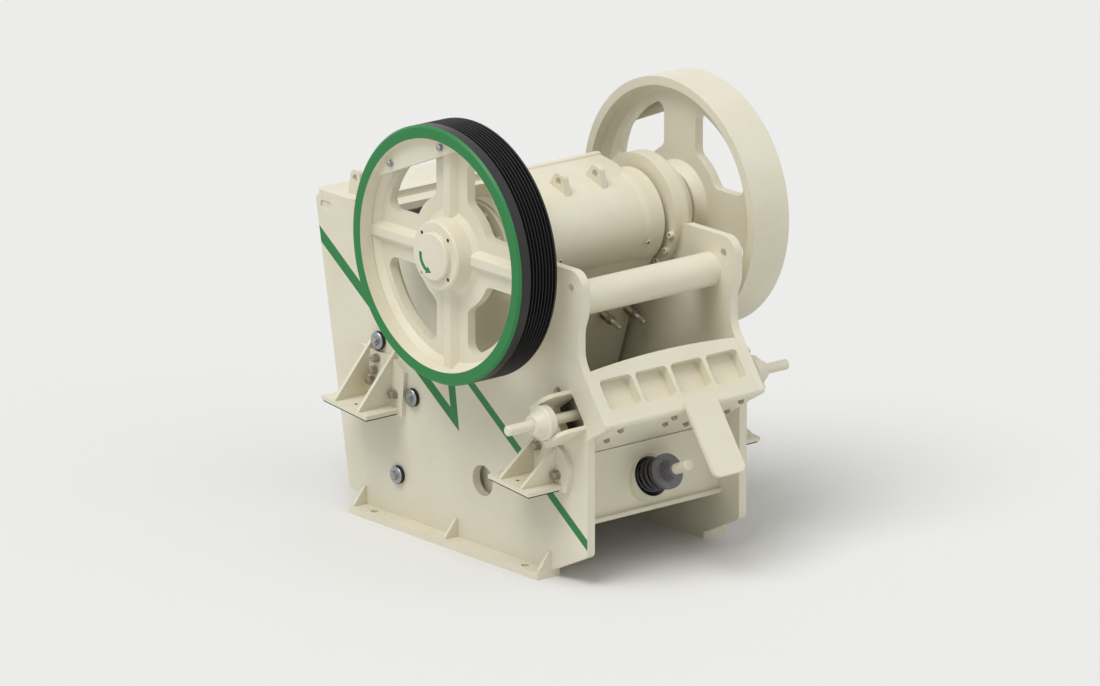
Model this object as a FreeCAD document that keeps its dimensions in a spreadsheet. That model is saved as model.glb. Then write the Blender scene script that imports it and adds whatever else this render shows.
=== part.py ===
import FreeCAD, Part
import Sketcher
import math
import os
import re

# Stationary single-toggle jaw crusher, standing on its two feet.
# X runs along the eccentric shaft, the grooved flywheel at -X.
# Y runs from the rear toggle beam (-Y) to the fixed jaw and feed end (+Y).
# Z is up, with the feet on Z = 0 and the origin amid the four anchor holes.

Vector = FreeCAD.Vector

# Driving sizes in millimetres and degrees, each written once.
# Names ending in _y are measured from the shaft line, names ending in _z from the floor.
SIZES = {
    # Whole machine
    "shaft_height": 2042,
    "shaft_setback": 338,
    "frame_half_width": 659,
    "side_plate_thickness": 61,
    "seat_gap": 0.3,
    "weld_root": 12,
    # Feet and anchor holes
    "foot_rear_y": -603,
    "foot_front_y": 1280,
    "foot_reach": 123,
    "foot_thickness": 45,
    "anchor_hole_radius": 26,
    "anchor_reach": 63,
    "anchor_half_span_y": 750,
    "foot_gusset_height": 120,
    "foot_gusset_thickness": 24,
    "foot_gusset_inset": 22,
    # Side plate outline, rear to front
    "tail_y": -943,
    "tail_chamfer_z": 208,
    "tail_top_z": 972,
    "waist_y": -850,
    "waist_high_drop": 382,
    "waist_radius": 220,
    "ear_start_y": -418,
    "ear_step": 70,
    "ear_rear_y": -890,
    "ear_low_drop": 282,
    "ear_corner_radius": 110,
    "ear_top_drop": 7,
    "front_top_y": 1751,
    "front_top_drop": 30,
    "front_foot_y": 1417,
    "front_foot_z": 113,
    "front_toe_y": 1316,
    "plate_corner_radius": 40,
    "ear_hole_radius": 28,
    "ear_hole_y": -780,
    "ear_hole_drop": 119,
    "seat_hole_radius": 100,
    "seat_hole_y": 80,
    "seat_hole_z": 473,
    "sling_slot_y": 1645,
    "sling_slot_drop": 62,
    "sling_slot_length": 110,
    "sling_slot_height": 55,
    "sling_slot_corner": 26,
    "sling_slot_depth": 10,
    # Bearing housings
    "housing_flange_radius": 378,
    "housing_flange_thickness": 50,
    "housing_radius": 300,
    "housing_reach": 83,
    "pedestal_foot_half": 390,
    "pedestal_foot_drop": 300,
    "pedestal_corner_radius": 60,
    "cover_radius": 285,
    "cover_thickness": 26,
    "cover_neck_radius": 190,
    "cover_neck_length": 12,
    # Eccentric shaft
    "journal_radius": 140,
    "eccentric_radius": 190,
    "throw": 16,
    "counterweight_angle": 67.7,
    # Flywheels, axial sizes run outwards from the rim's inner edge
    "wheel_radius": 825,
    "wheel_gap": 27,
    "rim_width": 300,
    "rim_thickness": 59,
    "rim_draft": 24,
    "rim_root_chamfer": 40,
    "web_recess": 138,
    "web_thickness": 62,
    "hub_radius": 222,
    "hub_draft": 22,
    "hub_root_chamfer": 30,
    "hub_edge_chamfer": 10,
    "hub_back": 34,
    "window_inner_radius": 372,
    "window_rim_margin": 87,
    "spoke_half_width": 152,
    "window_corner_radius": 62,
    "spoke_rib_foot_half": 66,
    "spoke_rib_half_width": 30,
    "spoke_rib_height": 46,
    "spoke_rib_edge": 14,
    "groove_count": 8,
    "groove_pitch": 25.5,
    "groove_depth": 24,
    "groove_mouth": 21,
    "groove_floor": 7,
    "groove_margin": 10,
    "band_bevel": 14,
    "weight_depth": 156,
    "weight_face_inset": 47,
    "hub_cap_radius": 155,
    "hub_cap_height": 33,
    "hub_cap_edge": 8,
    # Jaws
    "fixed_jaw_angle": 10,
    "front_wall_y": 1355,
    "front_wall_thickness": 60,
    "front_rib_thickness": 36,
    "front_rib_spacing": 430,
    "front_rib_setback": 30,
    "front_rib_count": 4,
    "front_post_count": 3,
    "front_post_spacing": 330,
    "swing_jaw_angle": 12,
    "jaw_plate_thickness": 100,
    "jaw_tooth_height": 34,
    "jaw_tooth_count": 9,
    "jaw_tooth_crest": 0.4,
    "cheek_plate_thickness": 46,
    "fixed_jaw_top": 95,
    "fixed_jaw_length": 1660,
    "swing_jaw_top": 70,
    "swing_jaw_length": 1830,
    "jaw_clamp_height": 90,
    "jaw_clamp_thickness": 70,
    "cheek_clearance": 12,
    "cheek_top_drop": 52,
    "cheek_foot_z": 420,
    # Pitman
    "barrel_radius": 310,
    "barrel_gap": 27,
    "barrel_collar": 120,
    "barrel_step": 8,
    "barrel_step_run": 50,
    "barrel_edge": 10,
    "pitman_gap": 38,
    "pitman_face": 318,
    "pitman_foot": 1850,
    "pitman_toe_run": 60,
    "pitman_toe_drop": 20,
    "pitman_crown": 130,
    "pitman_front_angle": 52,
    "pitman_rear_angle": 36,
    "pitman_spine_radius": 160,
    "pitman_spine_high": 560,
    "pitman_spine_high_y": -75,
    "pitman_spine_low": 1198,
    "pitman_spine_low_y": 1,
    "pitman_lug_radius": 85,
    "pitman_lug_root": 187,
    "pitman_lug_spread": 136,
    "pitman_lug_thickness": 34,
    "pitman_lug_half_gap": 52,
    "barrel_lug_height": 95,
    "barrel_lug_top_half": 38,
    "barrel_lug_corner": 28,
    "barrel_lug_root": 30,
    "barrel_lug_thickness": 40,
    "barrel_lug_x": 150,
    "barrel_lug_hole_radius": 24,
    "jaw_bolt_radius": 18,
    "jaw_bolt_inner_x": 315,
    "jaw_bolt_edge": 40,
    "jaw_bolt_reach": 188,
    "jaw_bolt_drop": 72,
    "jaw_bolt_sleeve_radius": 30,
    "jaw_bolt_sleeve": 70,
    "jaw_bolt_nut_radius": 33,
    "jaw_bolt_nut": 30,
    "motion_clearance": 24,
    # Toggle beam, its own frame tilted by beam_angle about its lower rear corner
    "beam_angle": -35.5,
    "beam_corner_y": -1124,
    "beam_corner_z": 1079,
    "beam_face_height": 390,
    "beam_crown": 28,
    "beam_crown_root": 40,
    "beam_crown_fill": 0.95,
    "beam_corner_radius": 26,
    "beam_block_depth": 178,
    "beam_floor_depth": 475,
    "beam_roof_depth": 417,
    "channel_low": 109,
    "channel_high": 329,
    "pocket_low": 115,
    "pocket_high": 318,
    "pocket_depth": 70,
    "pocket_count": 4,
    "pocket_rib": 32,
    "pocket_corner_radius": 30,
    # Toggle and wedge adjuster
    "channel_play": 0.3,
    "toggle_seat_depth": 70,
    "toggle_seat_groove": 22,
    "toggle_seat_half": 69,
    "toggle_gap": 128,
    "toggle_length": 860,
    "toggle_end_radius": 46,
    "toggle_waist_half": 32,
    "toggle_neck_half": 37,
    "toggle_taper": 260,
    "wedge_thick_end": 160,
    "wedge_slope": 12,
    "wedge_inner_x": 40,
    "wedge_gap": 38,
    "shelf_reach": 200,
    "shelf_thickness": 26,
    "shelf_corner_radius": 70,
    "cylinder_gap": 163,
    "cylinder_flange_thickness": 75,
    "cylinder_flange_edge": 14,
    "cylinder_nose_radius": 92,
    "cylinder_nose_tip_radius": 60,
    "cylinder_nose_length": 61,
    "cylinder_rod_radius": 34,
    "cylinder_rod_length": 199,
    "cylinder_rod_edge": 8,
    # Rear wall, tension rod and spring
    "rear_wall_y": -740,
    "rear_wall_thickness": 40,
    "rear_wall_low_z": 374,
    "rear_wall_top_z": 800,
    "rear_wall_flange_thickness": 28,
    "rear_wall_flange_reach": 30,
    "rear_wall_flange_inside": 100,
    "rod_angle": 23.1,
    "rod_pin_y": 300,
    "rod_pin_z": 113,
    "rod_radius": 35,
    "rod_eye_radius": 52,
    "rod_eye_half_width": 40,
    "rod_pin_radius": 25,
    "rod_pin_overhang": 10,
    "rod_pin_clearance": 6,
    "rod_length": 1577,
    "rod_edge": 6,
    "spring_outer_radius": 107,
    "spring_wire_radius": 15,
    "spring_front": 985,
    "rod_thread_length": 242,
    "spring_washer_radius": 114,
    "spring_washer_thickness": 26,
    "rod_nut_radius": 58,
    "rod_nut_thickness": 60,
    "rod_nut_washer": 16,
    "rod_nut_washer_radius": 64,
    "spring_seat_thickness": 24,
    "spring_seat_bore": 6,
    "spring_pocket_end": 1180,
    "spring_pocket_radius": 128,
    "spring_pocket_wall": 12,
    # Rear guard plate
    "guard_middle_x": 120,
    "guard_width": 260,
    "guard_rise": 90,
    "guard_drop": 467,
    "guard_thickness": 25,
    "guard_corner_radius": 50,
    # Cross tube between the rear ears
    "cross_tube_y": -646,
    "cross_tube_drop": 252,
    "cross_tube_radius": 109.5,
    "cross_tube_wall": 14,
    # Top cap and lifting lugs at the feed end
    "cap_thickness": 28,
    "cap_corner_radius": 60,
    "lug_inset": 104,
    "lug_thickness": 32,
    "lug_height": 165,
    "lug_rear_y": 1385,
    "lug_front_y": 1525,
    "lug_top_radius": 40,
    "lug_hole_radius": 24,
    "lug_hole_drop": 52,
    # Motor bracket in front and its smaller fellow at the rear
    "bracket_angle": 5.3,
    "bracket_flange_thickness": 31,
    "bracket_reach": 301,
    "bracket_plate_thickness": 26,
    "bracket_gusset_thickness": 24,
    "bracket_gusset_reach": 258,
    "bracket_rear_share": 0.22,
    "bracket_front_share": 0.74,
    "front_bracket_y": 873,
    "front_bracket_z": 768,
    "front_bracket_length": 454,
    "front_gusset_height": 370,
    "front_flange_height": 312,
    "front_flange_shift": 27,
    "front_flange_drop": 48,
    "front_flange_corner": 87,
    "front_flange_corner_rise": 60,
    "rear_bracket_y": -731,
    "rear_bracket_z": 634,
    "rear_bracket_length": 397,
    "rear_gusset_height": 225,
    "rear_flange_height": 240,
    "rear_flange_drop": 38,
    "rear_flange_foot": 43,
    "rear_flange_shoulder": 76,
    "rear_flange_corner": 36,
    "rear_flange_corner_rise": 108,
    "rear_flange_radius": 100,
    "pad_thickness": 12,
    "pad_inset": 10,
    # Liner bolts through the side plates
    "liner_washer_radius": 60,
    "liner_washer_thickness": 36,
    "liner_head_radius": 30,
    "liner_head_height": 24,
    "liner_high_y": 1101,
    "liner_high_z": 1171,
    "liner_middle_y": 764,
    "liner_middle_z": 867,
    "liner_low_y": 915,
    "liner_low_z": 320,
}

FORMULA_FUNCTIONS = {"sin", "cos", "tan", "sqrt", "atan", "min", "max"}
# Sketcher's numbers for the ends and the middle of a line or an arc
START, END, CENTRE = range(1, 4)

doc = FreeCAD.newDocument("JawCrusher")
sheet = doc.addObject("Spreadsheet::Sheet", "Sizes")
for row, (name, number) in enumerate(SIZES.items(), start=1):
    sheet.set(f"A{row}", name)
    sheet.set(f"B{row}", str(number))
    sheet.setAlias(f"B{row}", name)
doc.recompute()

sub_parts = []


def cells(formula):
    """Point every size name in a formula at its cell in the sheet."""
    def point(match):
        word = match[0]
        return word if word in FORMULA_FUNCTIONS else f"Sizes.{word}"
    return re.sub(r"[a-z][a-z_]*", point, str(formula))


def value(formula):
    """Work a formula out to a plain number."""
    number = sheet.evalExpression(cells(formula))
    return float(getattr(number, "Value", number))


def bind(item, prop, formula):
    """Tie one property of an object to the sheet."""
    item.setExpression(prop, cells(formula))


def place(item, along="0", forward="0", up="0", tilt=None):
    """Stand an object in the machine; forward counts from the shaft line, tilt turns about X."""
    if tilt is not None:
        item.Placement = FreeCAD.Placement(Vector(0, 0, 0), FreeCAD.Rotation(Vector(1, 0, 0), 10))
        bind(item, "Placement.Rotation.Angle", tilt)
    bind(item, "Placement.Base.x", along)
    bind(item, "Placement.Base.y", f"{forward} - shaft_setback")
    bind(item, "Placement.Base.z", up)


def keep(item, label):
    """Name a finished sub-part and put it on the list that is written out."""
    item.Label = label
    sub_parts.append(item)
    return item


def new_body(name):
    """Start an empty body."""
    return doc.addObject("PartDesign::Body", name)


def new_sketch(body, plane, offset=None):
    """Start a sketch on one of the body's origin planes, moved along its normal by offset."""
    sketch = body.newObject("Sketcher::SketchObject", "Profile")
    for feature in body.Origin.OriginFeatures:
        if feature.Role == plane:
            sketch.AttachmentSupport = [(feature, "")]
    sketch.MapMode = "FlatFace"
    if offset is not None:
        bind(sketch, "AttachmentOffset.Base.z", offset)
    return sketch


def pin_point(sketch, geometry, position, across, up):
    """Hold a point of the sketch at two formulas from the sketch's origin."""
    for kind, formula, axis in (("DistanceX", across, -2), ("DistanceY", up, -1)):
        if str(formula) == "0":
            sketch.addConstraint(Sketcher.Constraint("PointOnObject", geometry, position, axis))
        else:
            index = sketch.addConstraint(
                Sketcher.Constraint(kind, -1, 1, geometry, position, value(formula)))
            bind(sketch, f"Constraints[{index}]", formula)


def bind_radius(sketch, geometry, formula):
    """Tie the radius of a circle or arc to a formula."""
    index = sketch.addConstraint(Sketcher.Constraint("Radius", geometry, value(formula)))
    bind(sketch, f"Constraints[{index}]", formula)


def arc_between(centre, radius, start, end):
    """Counter-clockwise arc from the direction of start to the direction of end."""
    first = math.atan2(start.y - centre.y, start.x - centre.x)
    last = math.atan2(end.y - centre.y, end.x - centre.x)
    while last <= first:
        last += 2 * math.pi
    return Part.ArcOfCircle(Part.Circle(centre, Vector(0, 0, 1), radius), first, last)


def draw_outline(sketch, corners):
    """Closed outline through corners of (across, up) or (across, up, rounding) formulas."""
    points = [Vector(value(corner[0]), value(corner[1]), 0) for corner in corners]
    count = len(points)
    arrivals, departures, rounds = [], [], []
    for index, corner in enumerate(corners):
        here = points[index]
        if len(corner) < 3:
            arrivals.append(here)
            departures.append(here)
            rounds.append(None)
            continue
        radius = value(corner[2])
        back = (points[index - 1] - here).normalize()
        ahead = (points[(index + 1) % count] - here).normalize()
        half = back.getAngle(ahead) / 2
        reach = radius / math.tan(half)
        centre = here + (back + ahead).normalize() * (radius / math.sin(half))
        arrive, depart = here + back * reach, here + ahead * reach
        turns_left = (back.cross(ahead)).z < 0
        arrivals.append(arrive)
        departures.append(depart)
        rounds.append((centre, radius, turns_left))
    lines = []
    for index in range(count):
        start = departures[index]
        end = arrivals[(index + 1) % count]
        lines.append(sketch.addGeometry(Part.LineSegment(start, end), False))
    for index, corner in enumerate(corners):
        line_in, line_out = lines[index - 1], lines[index]
        if rounds[index] is None:
            sketch.addConstraint(
                Sketcher.Constraint("Coincident", line_in, END, line_out, START))
            pin_point(sketch, line_out, START, corner[0], corner[1])
            continue
        centre, radius, turns_left = rounds[index]
        first, last = arrivals[index], departures[index]
        if turns_left:
            arc = sketch.addGeometry(arc_between(centre, radius, first, last), False)
            ends = (START, END)
        else:
            arc = sketch.addGeometry(arc_between(centre, radius, last, first), False)
            ends = (END, START)
        point = sketch.addGeometry(Part.Point(points[index]), True)
        sketch.addConstraint([
            Sketcher.Constraint("Tangent", line_in, END, arc, ends[0]),
            Sketcher.Constraint("Tangent", line_out, START, arc, ends[1]),
            Sketcher.Constraint("PointOnObject", point, START, line_in),
            Sketcher.Constraint("PointOnObject", point, START, line_out),
        ])
        bind_radius(sketch, arc, corner[2])
        pin_point(sketch, point, START, corner[0], corner[1])


def draw_circle(sketch, across, up, radius):
    """Circle held by its centre and radius."""
    circle = sketch.addGeometry(
        Part.Circle(Vector(value(across), value(up), 0), Vector(0, 0, 1), value(radius)), False)
    pin_point(sketch, circle, CENTRE, across, up)
    bind_radius(sketch, circle, radius)


def rectangle(left, low, right, high, rounding=None):
    """Corners of an upright rectangle."""
    corners = [(left, low), (right, low), (right, high), (left, high)]
    if rounding is None:
        return corners
    return [(across, up, rounding) for across, up in corners]


def hexagon(middle, radius):
    """Corners of a six-sided nut whose middle lies on the across axis."""
    return [(f"{middle} + {radius} * cos({60 * side})", f"{radius} * sin({60 * side})")
            for side in range(6)]


def pad(body, plane, length, outlines=(), circles=(), offset=None, symmetric=False):
    """Thicken outlines and circles into the body; an inner loop becomes a hole."""
    sketch = new_sketch(body, plane, offset)
    for corners in outlines:
        draw_outline(sketch, corners)
    for across, up, radius in circles:
        draw_circle(sketch, across, up, radius)
    feature = body.newObject("PartDesign::Pad", "Pad")
    feature.Profile = sketch
    bind(feature, "Length", length)
    feature.Midplane = symmetric
    body.Tip = feature
    return feature


def pocket(body, plane, length=None, outlines=(), circles=(), offset=None, along_normal=True):
    """Cut outlines and circles out of the body, right through where no length is given."""
    sketch = new_sketch(body, plane, offset)
    for corners in outlines:
        draw_outline(sketch, corners)
    for across, up, radius in circles:
        draw_circle(sketch, across, up, radius)
    doc.recompute()
    before = body.Shape.Volume
    feature = body.newObject("PartDesign::Pocket", "Pocket")
    feature.Profile = sketch
    if length is None:
        feature.Type = 1
        feature.Midplane = True
    else:
        bind(feature, "Length", length)
        feature.Reversed = along_normal
    body.Tip = feature
    doc.recompute()
    if body.Shape.Volume >= before:
        raise RuntimeError(f"a cut in {body.Name} removes nothing")
    return feature


def revolve(body, corners):
    """Turn an outline of (along, radius) corners about the body's X axis."""
    sketch = new_sketch(body, "XZ_Plane")
    draw_outline(sketch, corners)
    feature = body.newObject("PartDesign::Revolution", "Revolution")
    feature.Profile = sketch
    feature.ReferenceAxis = (sketch, ["H_Axis"])
    feature.Angle = 360
    body.Tip = feature
    return feature


def plate(name, corners, start, length, circles=(), windows=()):
    """Plate whose side view is an outline in Y and Z, standing between two X places."""
    body = new_body(name)
    pad(body, "YZ_Plane", length, [corners, *windows], circles)
    place(body, along=start)
    return body


def mirrored(source, label):
    """The same piece on the other side of the machine."""
    twin = doc.addObject("Part::Mirroring", "Mirror")
    twin.Source = source
    twin.Base = Vector(0, 0, 0)
    twin.Normal = Vector(1, 0, 0)
    return keep(twin, label)


def pair(source, name):
    """Keep a piece of the right-hand side and its mirrored fellow."""
    keep(source, f"{name}_right")
    mirrored(source, f"{name}_left")


def beam_point(depth, rise):
    """Y and Z formulas of a point in the toggle beam's tilted frame."""
    forward = f"beam_corner_y + ({depth}) * cos(beam_angle) - ({rise}) * sin(beam_angle)"
    up = f"beam_corner_z + ({depth}) * sin(beam_angle) + ({rise}) * cos(beam_angle)"
    return forward, up


# Places that several pieces share, as formulas
PLATE_INNER = "(frame_half_width - side_plate_thickness)"
JAW_HALF = f"({PLATE_INNER} - cheek_plate_thickness - cheek_clearance)"
BARREL_HALF = f"({PLATE_INNER} - housing_flange_thickness - barrel_gap)"
PITMAN_HALF = f"({PLATE_INNER} - pitman_gap)"
HOUSING_FACE = "(frame_half_width + housing_reach)"
COVER_END = f"({HOUSING_FACE} + cover_thickness + cover_neck_length)"
WHEEL_START = f"({COVER_END} + wheel_gap)"
SHAFT_END = f"({WHEEL_START} + rim_width)"
RIM_INNER = "(wheel_radius - rim_thickness)"
RIM_ROOT = f"({RIM_INNER} - rim_draft)"
FRONT_TOP = "(shaft_height - front_top_drop)"
WEDGE_OUTER = f"({PLATE_INNER} - wedge_gap)"
SPRING_REAR = "(rod_length - rod_thread_length)"
CHANNEL_MIDDLE = "((channel_low + channel_high) / 2)"
SEAT_FRONT = "(beam_roof_depth + toggle_seat_depth)"
TOGGLE_REAR = f"({SEAT_FRONT} - toggle_seat_groove + toggle_end_radius)"
TOGGLE_HALF = f"({PLATE_INNER} - toggle_gap)"


def make_side_plates():
    """Two heavy plates with rear ear, front leg and the opening for the wedge adjuster."""
    window = [(*beam_point(depth, rise), "beam_corner_radius") for depth, rise in (
        ("beam_block_depth", "channel_low"), ("beam_roof_depth", "channel_low"),
        ("beam_roof_depth", "channel_high"), ("beam_block_depth", "channel_high"))]
    ear_top = "shaft_height - ear_top_drop"
    corners = [
        ("foot_rear_y", "foot_thickness"),
        ("foot_front_y", "foot_thickness"),
        ("front_toe_y", "front_foot_z"),
        ("front_foot_y", "front_foot_z", "plate_corner_radius"),
        ("front_top_y", FRONT_TOP, "plate_corner_radius"),
        ("ear_start_y + ear_step", FRONT_TOP),
        ("ear_start_y", ear_top),
        ("ear_rear_y", ear_top, "ear_corner_radius"),
        ("ear_rear_y", "shaft_height - ear_low_drop", "waist_radius"),
        ("waist_y", "shaft_height - waist_high_drop", "waist_radius"),
        ("waist_y", "beam_corner_z - (waist_y - beam_corner_y) / tan(beam_angle)",
         "waist_radius"),
        (*beam_point("0", "0"), "beam_corner_radius"),
        ("tail_y", "tail_top_z", "plate_corner_radius"),
        ("tail_y", "tail_chamfer_z", "plate_corner_radius"),
    ]
    slot_half = "(sling_slot_length / 2)"
    slot_rise = "(sling_slot_height / 2)"
    slot_z = f"({FRONT_TOP} - sling_slot_drop)"
    slot = rectangle(f"sling_slot_y - {slot_half}", f"{slot_z} - {slot_rise}",
                     f"sling_slot_y + {slot_half}", f"{slot_z} + {slot_rise}",
                     "sling_slot_corner")
    body = plate("SidePlate", corners, PLATE_INNER, "side_plate_thickness",
                 circles=[("ear_hole_y", "shaft_height - ear_hole_drop", "ear_hole_radius"),
                          ("seat_hole_y", "seat_hole_z", "seat_hole_radius")],
                 windows=[window])
    pocket(body, "YZ_Plane", "sling_slot_depth", [slot], offset="side_plate_thickness",
           along_normal=False)
    pad(body, "YZ_Plane", "side_plate_thickness",
        circles=[("0", "shaft_height", "housing_flange_radius")])
    pocket(body, "YZ_Plane", circles=[("0", "shaft_height", "housing_radius + seat_gap")])
    pair(body, "side_plate")


def make_feet():
    """Foot plates under the side plates, with triangular gussets against them."""
    body = new_body("Foot")
    middle = "(foot_front_y + foot_rear_y) / 2"
    outer = "(frame_half_width + foot_reach)"
    holes = [("frame_half_width + anchor_reach", f"{middle} {sign} anchor_half_span_y",
              "anchor_hole_radius") for sign in "+-"]
    pad(body, "XY_Plane", "foot_thickness",
        [rectangle(PLATE_INNER, "foot_rear_y", outer, "foot_front_y")], holes)
    tip = f"{outer} - foot_gusset_inset"
    rise = "foot_thickness + foot_gusset_height"
    places = ["foot_rear_y + foot_gusset_inset", f"{middle}",
              "foot_front_y - foot_gusset_inset"]
    for forward in places:
        gusset = [("frame_half_width", "foot_thickness"), (tip, "foot_thickness"),
                  (tip, "foot_thickness + weld_root"), ("frame_half_width + weld_root", rise),
                  ("frame_half_width", rise)]
        pad(body, "XZ_Plane", "foot_gusset_thickness", [gusset],
            offset=f"-({forward})", symmetric=True)
    place(body)
    pair(body, "foot")


def make_front_wall():
    """Inclined front wall with horizontal ribs in front, tied between the side plates."""
    body = new_body("FrontWall")
    width = f"2 * {PLATE_INNER}"
    drop = f"({FRONT_TOP} - front_foot_z) / cos(fixed_jaw_angle)"
    pad(body, "YZ_Plane", width, [rectangle("0", f"-{drop}", "front_wall_thickness", "0")],
        symmetric=True)
    front = "(front_top_y - front_wall_y) * cos(fixed_jaw_angle) - front_rib_setback"
    for index in range(int(value("front_rib_count"))):
        low = f"-{drop} + front_rib_setback + {index} * front_rib_spacing"
        pad(body, "YZ_Plane", width,
            [rectangle("front_wall_thickness", low, front, f"{low} + front_rib_thickness")],
            symmetric=True)
    posts = int(value("front_post_count"))
    for index in range(posts):
        along = f"({index} - (front_post_count - 1) / 2) * front_post_spacing"
        pad(body, "YZ_Plane", "front_rib_thickness",
            [rectangle("front_wall_thickness", f"-{drop} + front_rib_setback",
                       f"{front} - front_rib_setback", "0")], offset=along, symmetric=True)
    place_on_front_wall(body)
    keep(body, "front_wall")


def place_on_front_wall(item):
    """Stand a piece in the front wall's leaning frame, which hangs from the wall's top."""
    place(item, forward="front_wall_y", up=FRONT_TOP, tilt="-fixed_jaw_angle")


def jaw_section(back, face):
    """Section across a jaw plate: flat back and a row of blunt teeth on the working face."""
    teeth = int(value("jaw_tooth_count"))
    pitch = f"(2 * {JAW_HALF} / jaw_tooth_count)"
    root = f"{face} - ({face} - ({back})) / jaw_plate_thickness * jaw_tooth_height"
    crest = []
    for index in range(teeth):
        left = f"-{JAW_HALF} + {index} * {pitch}"
        crest.append((left, root))
        crest.append((f"{left} + (1 - jaw_tooth_crest) / 2 * {pitch}", face))
        crest.append((f"{left} + (1 + jaw_tooth_crest) / 2 * {pitch}", face))
    crest.append((JAW_HALF, root))
    ends = [(JAW_HALF, back), (f"-{JAW_HALF}", back)]
    return crest + ends


def make_jaws():
    """Fixed jaw plate on the front wall, swing jaw plate on the pitman, and their clamps."""
    fixed = new_body("FixedJaw")
    pad(fixed, "XY_Plane", "fixed_jaw_length", [jaw_section("0", "-jaw_plate_thickness")],
        offset="-fixed_jaw_top - fixed_jaw_length")
    place_on_front_wall(fixed)
    keep(fixed, "fixed_jaw_plate")
    clamp = new_body("FixedClamp")
    low = "-fixed_jaw_top + seat_gap"
    pad(clamp, "YZ_Plane", f"2 * {JAW_HALF}",
        [[("0", low), ("0", f"{low} + jaw_clamp_height - weld_root"),
          ("-jaw_clamp_thickness", f"{low} + jaw_clamp_height / 2"),
          ("-jaw_clamp_thickness", low)]], symmetric=True)
    place_on_front_wall(clamp)
    keep(clamp, "fixed_jaw_clamp")
    swing = new_body("SwingJaw")
    face = "pitman_face + jaw_plate_thickness"
    pad(swing, "XY_Plane", "swing_jaw_length", [jaw_section("pitman_face", face)],
        offset="swing_jaw_top - swing_jaw_length")
    place_on_pitman(swing)
    keep(swing, "swing_jaw_plate")
    bar = new_body("SwingClamp")
    low = "swing_jaw_top + seat_gap"
    pad(bar, "YZ_Plane", f"2 * {JAW_HALF}",
        [[("pitman_face", low), ("pitman_face + jaw_clamp_thickness", low),
          ("pitman_face + jaw_clamp_thickness", f"{low} + jaw_clamp_height / 2"),
          ("pitman_face", f"{low} + jaw_clamp_height")]], symmetric=True)
    place_on_pitman(bar)
    keep(bar, "swing_jaw_clamp")


def fixed_face_y(height):
    """Y of the front wall's inner face at a height above the floor."""
    return f"(front_wall_y - ({FRONT_TOP} - ({height})) * tan(fixed_jaw_angle))"


def pitman_face_y(height, inset="0"):
    """Y of the pitman's front face at a height, inset measured square to the face."""
    offset = f"(pitman_face + ({inset})) / cos(swing_jaw_angle)"
    return f"({offset} + (shaft_height - ({height})) * tan(swing_jaw_angle))"


def make_cheek_plates():
    """Wear plates on the inner side of the side plates, between the two jaws."""
    clear = "motion_clearance + throw"
    top = f"{FRONT_TOP} - cheek_top_drop"
    corners = [
        (fixed_face_y("cheek_foot_z"), "cheek_foot_z"),
        (fixed_face_y(top), top),
        (pitman_face_y(top, clear), top),
        (pitman_face_y("cheek_foot_z", clear), "cheek_foot_z"),
    ]
    body = plate("Cheek", corners, f"{PLATE_INNER} - cheek_plate_thickness",
                 "cheek_plate_thickness")
    pair(body, "cheek_plate")


def place_on_pitman(item):
    """Stand a piece in the pitman's frame, centred on the eccentric and leaning back."""
    forward = "-throw * cos(counterweight_angle)"
    up = "shaft_height - throw * sin(counterweight_angle)"
    place(item, forward=forward, up=up, tilt="swing_jaw_angle")


def to_pitman(forward, up):
    """Coordinates in the pitman's leaning frame of a point given from the shaft line and floor."""
    rise = f"(({up}) - shaft_height)"
    across = f"({forward}) * cos(swing_jaw_angle) + {rise} * sin(swing_jaw_angle)"
    height = f"{rise} * cos(swing_jaw_angle) - ({forward}) * sin(swing_jaw_angle)"
    return across, height


def toggle_point(along, rise):
    """Y and Z formulas of a point along the toggle line, counted from the toggle seat."""
    depth = f"{SEAT_FRONT} - toggle_seat_groove"
    return beam_point(f"{depth} + ({along})", f"{CHANNEL_MIDDLE} + ({rise})")


def spine_y(height):
    """Y of the pitman's straight rear face at a height in the pitman's frame."""
    run = "(pitman_spine_low_y - pitman_spine_high_y) / (pitman_spine_low - pitman_spine_high)"
    return f"(pitman_spine_high_y - (({height}) + pitman_spine_high) * {run})"


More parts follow.
